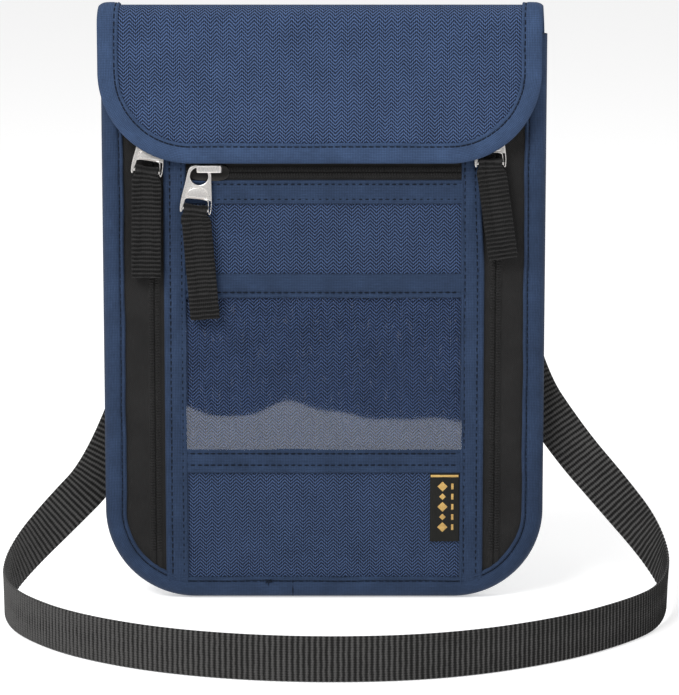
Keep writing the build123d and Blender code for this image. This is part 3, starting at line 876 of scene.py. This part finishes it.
# ---- the neck strap ----
STRAP_WIDTH = 15.0
STRAP_THICKNESS = 1.25
STRAP_EXIT_X = 55.5
STRAP_Y = 7.75
STRAP_TOP = 192.0
UPRIGHT_HEIGHT = 7.5            # up to here the webbing stands on its edge
LEAN_HEIGHT = 70.0              # over this height it turns to face the back of the pouch
STRAP_RIB = 1.8
ROUTE = [
    (-STRAP_EXIT_X, STRAP_Y, STRAP_TOP),
    (-STRAP_EXIT_X, STRAP_Y, 156.0),
    (-60.6, 10.8, 84.0),
    (-77.0, 10.4, 43.0),
    (-91.8, 6.2, 28.2),
    (-102.8, -4.4, 17.8),
    (-108.4, -18.4, 11.2),
    (-108.2, -34.2, 7.7),
    (-99.6, -57.6, 7.5),
    (-79.4, -83.2, 7.5),
    (-46.2, -103.6, 7.5),
    (-3.8, -112.6, 7.5),
    (39.6, -108.0, 7.5),
    (77.6, -87.0, 7.5),
    (103.6, -59.6, 7.5),
    (114.0, -39.8, 7.6),
    (117.8, -19.8, 11.6),
    (112.2, -2.0, 21.8),
    (99.4, 8.0, 36.4),
    (85.4, 10.4, 52.4),
    (67.8, 10.8, 78.5),
    (STRAP_EXIT_X, STRAP_Y, 142.0),
    (STRAP_EXIT_X, STRAP_Y, STRAP_TOP),
]


def strap_line():
    """The strap's centre line: the NURBS through the route, as points in millimetres."""
    curve = bpy.data.curves.new("strap_line", "CURVE")
    curve.dimensions = "3D"
    line = curve.splines.new("NURBS")
    line.points.add(len(ROUTE) - 1)
    for point, place in zip(line.points, ROUTE):
        point.co = (*place, 1)
    line.order_u = 3
    line.use_endpoint_u = True
    line.resolution_u = 40
    holder = bpy.data.objects.new("strap_line", curve)
    bpy.context.scene.collection.objects.link(holder)
    mesh = bpy.data.meshes.new_from_object(holder)
    points = np.array([vertex.co[:] for vertex in mesh.vertices])
    bpy.data.objects.remove(holder)
    bpy.data.meshes.remove(mesh)
    return points


def strap_frame(points):
    """The width direction and the face direction along the strap."""
    tangent = np.gradient(points, axis=0)
    tangent /= np.linalg.norm(tangent, axis=1)[:, None]
    side = np.where(points[:, 0] > 0, 1, -1)
    lean = side * np.maximum(0, points[:, 2] - UPRIGHT_HEIGHT) / LEAN_HEIGHT
    upward = np.stack([lean, 0 * lean, 1 + 0 * lean], -1)
    face = np.cross(tangent, upward)
    face /= np.linalg.norm(face, axis=1)[:, None]
    return np.cross(face, tangent), face


def resampled(points, size):
    length = np.concatenate([[0], np.cumsum(np.linalg.norm(np.diff(points, axis=0), axis=1))])
    at = steps(0, length[-1], size)
    return np.stack([np.interp(at, length, points[:, k]) for k in range(3)], -1), at


def build_strap():
    """Ribbed webbing: low ribs across it, and slightly thicker woven edges."""
    line, at = resampled(strap_line(), 0.3)
    width, face = strap_frame(line)
    across = np.concatenate([[-1, -0.985, -0.95], np.linspace(-0.9, 0.9, 15), [0.95, 0.985, 1]])
    half = STRAP_WIDTH / 2

    def side_of(sign):
        def place(u, k):
            index = k.astype(int)
            rib = 0.5 + 0.5 * np.cos(2 * np.pi * (at[index] + 0.35 * np.abs(u)) / STRAP_RIB)
            edge = edge_roll(u, 0.02)
            lift = sign * edge * (STRAP_THICKNESS / 2 - 0.34 + 0.34 * rib)
            spot = line[index] + width[index] * (u * half)[..., None] + face[index] * lift[..., None]
            return spot[..., 0], spot[..., 1], spot[..., 2]
        return place

    stations = np.arange(len(line))
    strap = cloth("neck_strap", across, stations, side_of(1), side_of(-1),
                  lambda u, k: (u * half, at[k.astype(int)]))
    return strap, line, at


def build_anchors():
    """The strap's sewn ends: webbing turned over the top and stitched flat to the back."""
    made = {}
    rows = []
    for name, side in (("left_strap_anchor", -1), ("right_strap_anchor", 1)):
        low, high = extent(name)
        half = (high[0] - low[0]) / 2 - 0.4
        centre_x = (low[0] + high[0]) / 2
        turn_radius = (high[1] - low[1]) / 2 - 0.6
        top = high[2] - turn_radius - 0.7
        inner_y, sewn_low, hang_low = low[1] + 0.62, low[2], STRAP_TOP - 1.5
        sewn = top - sewn_low
        total = sewn + math.pi * turn_radius + (top - hang_low)
        distance = steps(0, total, 0.3)

        def place(u, s, sign, x0=centre_x, half=half, r=turn_radius, top=top, y0=inner_y, sewn=sewn):
            turn = np.clip((s - sewn) / r, 0, math.pi)
            over = np.maximum(s - sewn - math.pi * r, 0)
            y = y0 + r * (1 - np.cos(turn))
            z = top - np.maximum(sewn - s, 0) + r * np.sin(turn) - over
            rib = 0.5 + 0.5 * np.cos(2 * np.pi * s / STRAP_RIB)
            lift = sign * (0.42 + 0.15 * rib) * edge_roll(u, 0.02)
            return x0 + u * half, y + np.cos(turn) * lift, z + np.sin(turn) * lift
        across = np.concatenate([[-1, -0.98, -0.95], np.linspace(-0.9, 0.9, 13), [0.95, 0.98, 1]])
        made[name] = cloth(name, across, distance, lambda u, s, p=place: p(u, s, -1),
                           lambda u, s, p=place: p(u, s, 1), lambda u, s: (u * 7.5, s))
        corners = [(-0.75, 1.2), (0.75, 1.2), (0.75, 11.5), (-0.75, 11.5), (-0.75, 1.2), (0.75, 11.5)]
        for (u0, s0), (u1, s1) in zip(corners, corners[1:]):
            start = np.array([centre_x + u0 * half, sewn_low + s0])
            end = np.array([centre_x + u1 * half, sewn_low + s1])
            span = float(np.linalg.norm(end - start))

            def line(s, start=start, end=end, span=span):
                spot = start[:, None] + (end - start)[:, None] * np.atleast_1d(s) / span
                return spot[0], spot[1]
            rows.append(stitch_row(line, 0, span,
                                   lambda x, z, lift, y=inner_y: (x, y + 0.55 + 0 * x, z), 0))
    return made, thread("anchor_stitches", rows)


# ---- materials ----
class Graph:
    """A short way to write shader nodes. Values are sockets or numbers."""

    def __init__(self, name):
        self.material = bpy.data.materials.new(name)
        self.material.use_nodes = True
        self.tree = self.material.node_tree
        self.tree.nodes.clear()
        self.shader = self.tree.nodes.new("ShaderNodeBsdfPrincipled")
        self.output = self.tree.nodes.new("ShaderNodeOutputMaterial")
        self.tree.links.new(self.shader.outputs[0], self.output.inputs[0])

    def put(self, socket, value):
        if isinstance(value, bpy.types.NodeSocket):
            self.tree.links.new(value, socket)
        else:
            socket.default_value = value

    def math(self, operation, *values):
        node = self.tree.nodes.new("ShaderNodeMath")
        node.operation = operation
        for socket, value in zip(node.inputs, values):
            self.put(socket, value)
        return node.outputs[0]

    def coordinates(self):
        """The stored cloth coordinates, in millimetres: across, along, and as one vector."""
        stored = self.tree.nodes.new("ShaderNodeUVMap")
        stored.uv_map = "weave"
        scaled = self.tree.nodes.new("ShaderNodeVectorMath")
        scaled.operation = "SCALE"
        scaled.inputs["Scale"].default_value = 1 / MM
        self.tree.links.new(stored.outputs[0], scaled.inputs[0])
        split = self.tree.nodes.new("ShaderNodeSeparateXYZ")
        self.tree.links.new(scaled.outputs[0], split.inputs[0])
        return split.outputs[0], split.outputs[1], scaled.outputs[0]

    def noise(self, vector, scale, detail=2.0, stretch=None):
        if stretch:
            sized = self.tree.nodes.new("ShaderNodeVectorMath")
            sized.operation = "MULTIPLY"
            self.tree.links.new(vector, sized.inputs[0])
            sized.inputs[1].default_value = stretch
            vector = sized.outputs[0]
        node = self.tree.nodes.new("ShaderNodeTexNoise")
        node.inputs["Scale"].default_value = scale
        node.inputs["Detail"].default_value = detail
        self.tree.links.new(vector, node.inputs["Vector"])
        return node.outputs[0]

    def wave(self, value, pitch):
        """A sine from 0 to 1 with this pitch."""
        angle = self.math("MULTIPLY", value, 2 * math.pi / pitch)
        return self.math("MULTIPLY_ADD", self.math("SINE", angle), 0.5, 0.5)

    def ramp(self, value, stops):
        node = self.tree.nodes.new("ShaderNodeValToRGB")
        while len(node.color_ramp.elements) < len(stops):
            node.color_ramp.elements.new(0.5)
        for element, (place, colour) in zip(node.color_ramp.elements, stops):
            element.position = place
            element.color = (*colour, 1)
        self.put(node.inputs[0], value)
        return node.outputs[0]

    def bump(self, height, depth):
        node = self.tree.nodes.new("ShaderNodeBump")
        node.inputs["Strength"].default_value = 1.0
        node.inputs["Distance"].default_value = depth * MM
        self.put(node.inputs["Height"], height)
        self.tree.links.new(node.outputs[0], self.shader.inputs["Normal"])

    def finish(self, colour, roughness, **constants):
        self.put(self.shader.inputs["Base Color"], colour)
        self.put(self.shader.inputs["Roughness"], roughness)
        for name, value in constants.items():
            self.shader.inputs[name.replace("_", " ")].default_value = value
        return self.material


def scaled_colour(colour, factor):
    return tuple(min(1.0, channel * factor) for channel in colour)


def yarn(graph, pattern, pitch):
    """The height of the weave, from 0 to 1, and the cloth coordinates."""
    across, along, vector = graph.coordinates()
    wobble = graph.math("MULTIPLY_ADD", graph.noise(vector, 0.35), 0.5, along)
    if pattern == "twill":
        zigzag = graph.math("PINGPONG", graph.math("ADD", across, 400.0), 2.1)
        diagonal = graph.wave(graph.math("ADD", zigzag, wobble), pitch)
        cross = graph.wave(across, pitch * 0.53)
        return graph.math("MULTIPLY_ADD", cross, 0.35, graph.math("MULTIPLY", diagonal, 0.65)), vector
    if pattern == "rib":
        lines = graph.wave(wobble, pitch)
        cross = graph.wave(across, pitch * 0.45)
        return graph.math("MULTIPLY_ADD", cross, 0.25, graph.math("MULTIPLY", lines, 0.75)), vector
    if pattern == "herringbone":
        zigzag = graph.math("PINGPONG", graph.math("ADD", across, 400.0), 1.1)
        return graph.wave(graph.math("ADD", zigzag, wobble), pitch), vector
    over = graph.wave(across, pitch)
    under = graph.wave(along, pitch)
    return graph.math("MULTIPLY_ADD", over, 0.5, graph.math("MULTIPLY", under, 0.5)), vector


def fabric(name, colour, pattern, pitch, contrast, depth, roughness):
    """Woven cloth: thread pattern, uneven dye, fine fuzz, and soft sheen."""
    graph = Graph(name)
    height, vector = yarn(graph, pattern, pitch)
    patch = graph.noise(vector, 0.09, 3.0)
    slub = graph.noise(vector, 1.0, 3.0, stretch=(3.2, 0.35, 1.0))
    fuzz = graph.noise(vector, 5.5, 2.0)
    tone = graph.math("MULTIPLY_ADD", height, contrast, 0.5 - contrast / 2)
    tone = graph.math("MULTIPLY_ADD", graph.math("SUBTRACT", patch, 0.5), 0.35, tone)
    tone = graph.math("MULTIPLY_ADD", graph.math("SUBTRACT", slub, 0.5), 0.30, tone)
    tone = graph.math("MULTIPLY_ADD", graph.math("SUBTRACT", fuzz, 0.5), 0.35, tone)
    shades = [(0.0, scaled_colour(colour, 0.22)), (0.5, colour), (1.0, scaled_colour(colour, 2.6))]
    relief = graph.math("MULTIPLY_ADD", fuzz, 0.5, height)
    graph.bump(relief, depth)
    return graph.finish(graph.ramp(tone, shades), graph.math("MULTIPLY_ADD", height, -0.08, roughness),
                        Sheen_Weight=0.04, Sheen_Roughness=0.45, Specular_IOR_Level=0.14)


def metal(name, colour, roughness):
    """Plated cast metal: faint brushing, small pits, and darker wear."""
    graph = Graph(name)
    vector = graph.coordinates()[2]
    brushing = graph.noise(vector, 1.6, 3.0, stretch=(6.0, 0.6, 1.0))
    pits = graph.noise(vector, 2.2, 4.0)
    graph.bump(graph.math("MULTIPLY_ADD", brushing, 0.4, pits), 0.004)
    shades = [(0.25, scaled_colour(colour, 0.78)), (0.6, colour), (1.0, scaled_colour(colour, 1.06))]
    worn = graph.math("MULTIPLY_ADD", brushing, 0.16, roughness - 0.08)
    return graph.finish(graph.ramp(pits, shades), worn, Metallic=1.0)


def plastic(name, colour, roughness):
    """Moulded plastic with a fine grain."""
    graph = Graph(name)
    place = graph.tree.nodes.new("ShaderNodeTexCoord")
    grain = graph.noise(place.outputs["Object"], 2600.0, 3.0)
    patch = graph.noise(place.outputs["Object"], 180.0, 2.0)
    graph.bump(grain, 0.02)
    shades = [(0.2, scaled_colour(colour, 0.8)), (0.8, scaled_colour(colour, 1.25))]
    rough = graph.math("MULTIPLY_ADD", grain, 0.15, roughness - 0.07)
    return graph.finish(graph.ramp(patch, shades), rough)


def film(name):
    """Clear soft film: mostly see-through, glossy, with a few faint scuffs."""
    graph = Graph(name)
    vector = graph.coordinates()[2]
    scuff = graph.noise(vector, 0.8, 4.0, stretch=(1.2, 0.25, 1.0))
    streak = graph.ramp(scuff, [(0.6, (0.0, 0.0, 0.0)), (0.76, (0.10, 0.10, 0.10))])
    clear = graph.tree.nodes.new("ShaderNodeBsdfTransparent")
    clear.inputs[0].default_value = (0.99, 0.99, 1.0, 1)
    gloss = graph.tree.nodes.new("ShaderNodeBsdfGlossy")
    gloss.inputs["Roughness"].default_value = 0.03
    fresnel = graph.tree.nodes.new("ShaderNodeFresnel")
    fresnel.inputs["IOR"].default_value = 1.8        # one face stands for both faces of the film
    blend = graph.tree.nodes.new("ShaderNodeMixShader")
    facing = graph.tree.nodes.new("ShaderNodeNewGeometry")
    outside = graph.math("SUBTRACT", 1.0, facing.outputs["Backfacing"])
    graph.put(blend.inputs[0], graph.math("MULTIPLY", fresnel.outputs[0], outside))
    graph.tree.links.new(clear.outputs[0], blend.inputs[1])
    graph.tree.links.new(gloss.outputs[0], blend.inputs[2])
    haze = graph.tree.nodes.new("ShaderNodeMixShader")
    graph.put(haze.inputs[0], graph.math("MULTIPLY", streak, outside))
    graph.tree.links.new(blend.outputs[0], haze.inputs[1])
    graph.tree.links.new(graph.shader.outputs[0], haze.inputs[2])
    graph.tree.links.new(haze.outputs[0], graph.output.inputs[0])
    graph.finish((0.30, 0.33, 0.40, 1), 0.4)
    return graph.material


NAVY = (0.0240, 0.0405, 0.085)
NAVY_BAND = (0.0185, 0.0325, 0.0665)
BLACK = (0.0205, 0.020, 0.020)
# material: name, colour, factor on it, pattern, pitch in mm, contrast, depth in mm, roughness
FABRICS = {
    "weave": ("navy_weave", NAVY, 1.0, "twill", 1.2, 1.7, 0.5, 0.9),
    # the flap's cloth: the body's navy weave made 1.22 times lighter, which is painted light
    "flap_weave": ("navy_flap_weave", NAVY, 1.22, "twill", 1.2, 1.7, 0.5, 0.9),
    "band": ("navy_tape", NAVY_BAND, 1.0, "plain", 0.55, 0.28, 0.07, 0.9),
    # the flap's binding: the body's navy tape made 1.52 times lighter, which is painted light
    "flap_painted_lit_band": ("navy_flap_tape", NAVY_BAND, 1.52, "plain", 0.55, 0.28, 0.07, 0.9),
    # the stitching thread is the tape's navy at 0.24 times: its own colour darkened with painted shade of the
    # grooves it lies in
    "thread": ("navy_thread", NAVY_BAND, 0.24, "rib", 0.5, 0.3, 0.05, 0.9),
    "lining": ("grey_lining", (0.22, 0.23, 0.25), 1.0, "plain", 0.45, 0.25, 0.05, 0.6),
    "zip_tape": ("black_tape", BLACK, 0.66, "herringbone", 0.6, 0.3, 0.08, 0.9),
    "coil": ("black_coil", BLACK, 0.6, "rib", 0.5, 0.3, 0.04, 0.5),
    "pull": ("black_pull_webbing", BLACK, 0.38, "rib", RIB_PITCH, 1.5, 0.3, 0.6),
    "strap": ("charcoal_webbing", (0.028, 0.0275, 0.027), 1.0, "rib", STRAP_RIB, 1.5, 0.4, 0.9),
    "label": ("black_label", (0.012, 0.012, 0.011), 1.0, "plain", 0.4, 0.4, 0.05, 0.9),
    "gold": ("gold_thread", (0.44, 0.27, 0.09), 1.0, "rib", 0.45, 0.5, 0.06, 0.6),
    "pile": ("navy_pile", (0.020, 0.032, 0.062), 1.0, "plain", 0.6, 0.5, 0.1, 0.9),
}


def make_materials():
    made = {}
    for key, (name, colour, factor, *rest) in FABRICS.items():
        made[key] = fabric(name, scaled_colour(colour, factor), *rest)
    made["nickel"] = metal("bright_nickel", (0.92, 0.89, 0.86), 0.42)
    # the slider bodies' dark copy of the zip metal: partly their own darker finish, partly painted shade from the
    # flap above them
    made["enamel"] = metal("black_enamel", (0.06, 0.058, 0.056), 0.32)
    made["plastic"] = plastic("black_plastic", (0.018, 0.018, 0.018), 0.42)
    made["film"] = film("clear_film")
    return made


# ---- putting the pieces on their bodies ----
def dress(piece, materials, body, slot, *nodes):
    """Gives a piece its materials and body (a flap piece gets its placing baked in instead), and hides the CAD
    nodes it stands for; slot is not used.
    """
    piece.data.materials.clear()
    for material in materials if isinstance(materials, list) else [materials]:
        piece.data.materials.append(material)
    if body == "flap":
        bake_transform(piece)
    else:
        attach(piece, body)
    if nodes:
        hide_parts(*nodes)
    return piece


MATERIALS = make_materials()
LOOK = {"navy_fabric": "weave", "navy_binding": "band", "shield_lining": "lining", "zip_tape": "zip_tape",
        "zip_coil": "coil", "strap_webbing": "strap", "hook_and_loop": "pile"}


def dress_node(node, piece, body="pouch", look=None):
    return dress(piece, MATERIALS[look or LOOK[SLOT_OF[node]]], body, SLOT_OF[node], node)


body_pieces = build_body()
body_pieces.update(build_zip_tapes())
for node, piece in body_pieces.items():
    dress_node(node, piece)
dress(body_stitches(), MATERIALS["thread"], "pouch", "navy_binding")

flap_pieces = build_flap()
# The flap's outer cloth takes the copy of the weave with painted light.
dress_node("flap_panel", flap_pieces["flap_panel"], "flap", "flap_weave")
dress_node("flap_lining", flap_pieces["flap_lining"], "flap")
# The flap's binding takes the copy of the tape with painted light.
dress_node("flap_binding", flap_pieces["flap_binding"], "flap", "flap_painted_lit_band")
dress(flap_pieces["flap_stitches"], MATERIALS["thread"], "flap", "navy_binding")

loop_patch = pile_patch("loop_patch", on_front, (0.0, 1.2), 1.0, 0.6)
dress_node("loop_patch", loop_patch)
hook_patch = pile_patch("hook_patch", lambda x, z, lift: on_flap(x, z, -0.7 - lift), (0.0, 0.9), 1.0, 0.5)
dress(hook_patch, MATERIALS["pile"], "flap", "hook_and_loop", "hook_patch")


FILM_MARGIN = 0.6               # how far the film runs on under the tapes


def grown(ends):
    return ends[0] - FILM_MARGIN, ends[1] + FILM_MARGIN


def build_window():
    """The clear film, very slightly slack, so that what it reflects has a wavy edge."""
    xs, zs = LAYOUT["clear_window"]
    xs, zs = grown(xs), grown(zs)
    middle = sum(zs) / 2

    def slack(x, z):
        """Ripples that lean the film back or forward, in thousandths, each this wide."""
        lean = 12.3 * np.exp(-((x + 12) / 11) ** 2) + 5.8 * np.exp(-((x + 48) / 7) ** 2)
        lean = lean + 4.3 * np.exp(-((x - 6) / 9) ** 2) - 4.6 - 2.9 * smooth(36, 48, x)
        lean = lean + 0.4 * np.sin(x / 2.9)
        return FILM_LIFT + lean / 1000 * (z - middle) + 0.01 * np.sin(z / 7 + x / 19)

    def front(x, z):
        return x, film_y(x, z) - slack(x, z), z

    def back(x, z):
        return x, film_y(x, z) - slack(x, z) + 0.15, z

    def film_y(x, z):
        calm = FRONT_PLANE - CROWN * (1 - np.clip(np.abs(x) / 70, 0, 1) ** 2.4)
        return calm + 0 * z

    return cloth("clear_window", steps(*xs, 0.8), steps(*zs, 1.0), front, back)


FILM_LIFT = 0.45
window = build_window()
dress(window, MATERIALS["film"], "pouch", "clear_film", "clear_window")
ribbon, ornament = build_label()
dress(ribbon, MATERIALS["label"], "pouch", "woven_label", "side_label")
dress(ornament, MATERIALS["gold"], "pouch", "woven_label")

for name in ZIP_NAMES:
    body, bridge = build_slider(name)
    slider = f"{name}_slider"
    # The slider body gets the dark metal, which is partly painted shade.
    dress(body, MATERIALS["enamel"], slider, "zip_metal", f"{name}_zip_slider").name = f"{slider}_body"
    dress(bridge, MATERIALS["nickel"], slider, "zip_metal").name = f"{slider}_bridge"
    dress(build_tab(name), MATERIALS["nickel"], f"{name}_tab", "zip_metal", f"{name}_pull_tab")
    dress(build_pull(name), MATERIALS["pull"], f"{name}_pull", "pull_webbing", f"{name}_webbing_pull")

strap, strap_path, strap_at = build_strap()
dress(strap, MATERIALS["strap"], "pouch", "strap_webbing", "strap_left_riser", "strap_front_loop",
      "strap_right_riser")
adjuster = frame["nodes"]["strap_adjuster"]
adjuster.data.materials.clear()
adjuster.data.materials.append(MATERIALS["plastic"])
tuple(np.array(ROUTE[0]) * MM)
[tuple(point * MM) for point in strap_path[::10]]
anchors, anchor_thread = build_anchors()
for node, piece in anchors.items():
    dress_node(node, piece)
dress(anchor_thread, MATERIALS["thread"], "pouch", "strap_webbing")


# ---- the cut sizes of the sheets ----
def declare_sheet(piece, xs, zs, held, rests_on, corner=0.0):
    """Stands for a cut piece of cloth, but only turns rests_on into a list; corner, which would round both its
    bottom corners, is not used.
    """
    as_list(rests_on)


INNER_XS = (-(BODY_HALF - EDGE_BAND + TUCK), BODY_HALF - EDGE_BAND + TUCK)
INNER_LOW, INNER_CORNER = EDGE_BAND - TUCK, BODY_CORNER - EDGE_BAND + TUCK
for node, top in (("back_panel", BACK_TOP), ("back_shield_lining", MOUTH_HIGH[2]),
                  ("front_shield_lining", MOUTH_LOW[2]), ("pocket_base", MOUTH_LOW[2])):
    declare_sheet(body_pieces[node], INNER_XS, (INNER_LOW, top), "stretched", ["edge_binding"], INNER_CORNER)
centre_bindings = ["left_centre_binding", "right_centre_binding"]
for node in ("closure_panel", "upper_front_panel", "window_backing"):
    declare_sheet(body_pieces[node], *LAYOUT[node], "stretched", centre_bindings)
lower_xs, lower_zs = LAYOUT["lower_front_panel"]
declare_sheet(body_pieces["lower_front_panel"], lower_xs, (INNER_LOW, lower_zs[1]), "stretched",
              ["edge_binding"])
film_xs, film_zs = (grown(ends) for ends in LAYOUT["clear_window"])
declare_sheet(window, film_xs, film_zs, "stretched", ["window_top_binding", "window_bottom_binding"])
FLAP_XS = (-(FLAP_HALF - FLAP_BAND + TUCK), FLAP_HALF - FLAP_BAND + TUCK)
for node in ("flap_panel", "flap_lining"):
    declare_sheet(flap_pieces[node], FLAP_XS, (FLAP_BOTTOM + FLAP_BAND - TUCK, FLAP_END), "folded",
                  ["back_panel"], FLAP_CORNER - FLAP_BAND + TUCK)


# ---- floor, light and camera ----
def flat_material(name, colour, roughness, glow):
    graph = Graph(name)
    graph.shader.inputs["Emission Color"].default_value = (1, 1, 1, 1)
    return graph.finish((*colour, 1), roughness, Emission_Strength=glow)


FLOOR_REACH = 20.0
FLOOR_EDGE = -0.345             # the clear window reflects the floor only as far forward as this


def floor_sheet(name, low_y, high_y, material):
    bpy.ops.mesh.primitive_plane_add(size=1)
    floor = bpy.context.object
    floor.name = name
    floor.scale = (2 * FLOOR_REACH, high_y - low_y, 1)
    floor.location = (0, (low_y + high_y) / 2, -0.0002)
    floor.data.materials.append(material)
    return floor


def make_floor():
    """A pale table top. Its front part isn't reflected, so that the window reflects an edge."""
    material = flat_material("pale_floor", (0.80, 0.80, 0.80), 0.8, FLOOR_GLOW)
    floor_sheet("floor", FLOOR_EDGE, FLOOR_REACH, material)
    front = floor_sheet("front_floor", -FLOOR_REACH, FLOOR_EDGE, material)
    front.visible_glossy = False


def area_light(name, place, aim, size, power):
    data = bpy.data.lights.new(name, "AREA")
    data.shape = "RECTANGLE"
    data.size, data.size_y = size
    data.energy = power
    light = bpy.data.objects.new(name, data)
    bpy.context.scene.collection.objects.link(light)
    light.location = place
    light.rotation_euler = (Vector(aim) - Vector(place)).to_track_quat("-Z", "Y").to_euler()


def make_world():
    """Even white light from above the horizon, and darkness below it."""
    world = bpy.data.worlds.new("studio")
    world.use_nodes = True
    tree = world.node_tree
    tree.nodes.clear()
    place = tree.nodes.new("ShaderNodeTexCoord")
    split = tree.nodes.new("ShaderNodeSeparateXYZ")
    ramp = tree.nodes.new("ShaderNodeValToRGB")
    ramp.color_ramp.elements[0].position = 0.495
    ramp.color_ramp.elements[0].color = (0.03, 0.03, 0.03, 1)
    ramp.color_ramp.elements[1].position = 0.505
    ramp.color_ramp.elements[1].color = (1, 1, 1, 1)
    height = tree.nodes.new("ShaderNodeMath")
    height.operation = "MULTIPLY_ADD"
    height.inputs[1].default_value = 0.5
    height.inputs[2].default_value = 0.5
    sky = tree.nodes.new("ShaderNodeBackground")
    sky.inputs[1].default_value = WORLD_STRENGTH
    out = tree.nodes.new("ShaderNodeOutputWorld")
    tree.links.new(place.outputs["Generated"], split.inputs[0])
    tree.links.new(split.outputs[2], height.inputs[0])
    tree.links.new(height.outputs[0], ramp.inputs[0])
    tree.links.new(ramp.outputs[0], sky.inputs[0])
    tree.links.new(sky.outputs[0], out.inputs[0])
    bpy.context.scene.world = world


CAMERA_RISE = 10.0               # degrees above the level
CAMERA_DISTANCE = 1.2
CAMERA_AIM = (0.0053, -0.002, 0.0885)
CAMERA_LENS = 181.0
WORLD_STRENGTH = 0.55
FLOOR_GLOW = 0.42


def make_camera():
    camera = bpy.data.objects.new("camera", bpy.data.cameras.new("camera"))
    camera.data.lens = CAMERA_LENS
    camera.data.clip_end = 80.0
    rise = math.radians(CAMERA_RISE)
    back = Vector((0, -math.cos(rise), math.sin(rise))) * CAMERA_DISTANCE
    camera.location = Vector(CAMERA_AIM) + back
    camera.rotation_euler = (math.pi / 2 - rise, 0, 0)
    bpy.context.scene.collection.objects.link(camera)
    bpy.context.scene.camera = camera


make_floor()
make_world()
# each light: place and aim in metres, size, and power in watts
LIGHTS = {
    "key": ((-0.7, -1.0, 1.2), (0, 0, 0.08), (0.8, 0.6), 22),
    "fill": ((0.9, -1.1, 0.7), (0, 0, 0.08), (1.0, 0.8), 4),
    "top": ((0.0, 0.2, 1.4), (0, 0, 0.1), (1.2, 1.2), 3),
}
for name, setting in LIGHTS.items():
    area_light(name, *setting)
make_camera()
bpy.context.scene.view_settings.view_transform = "Standard"
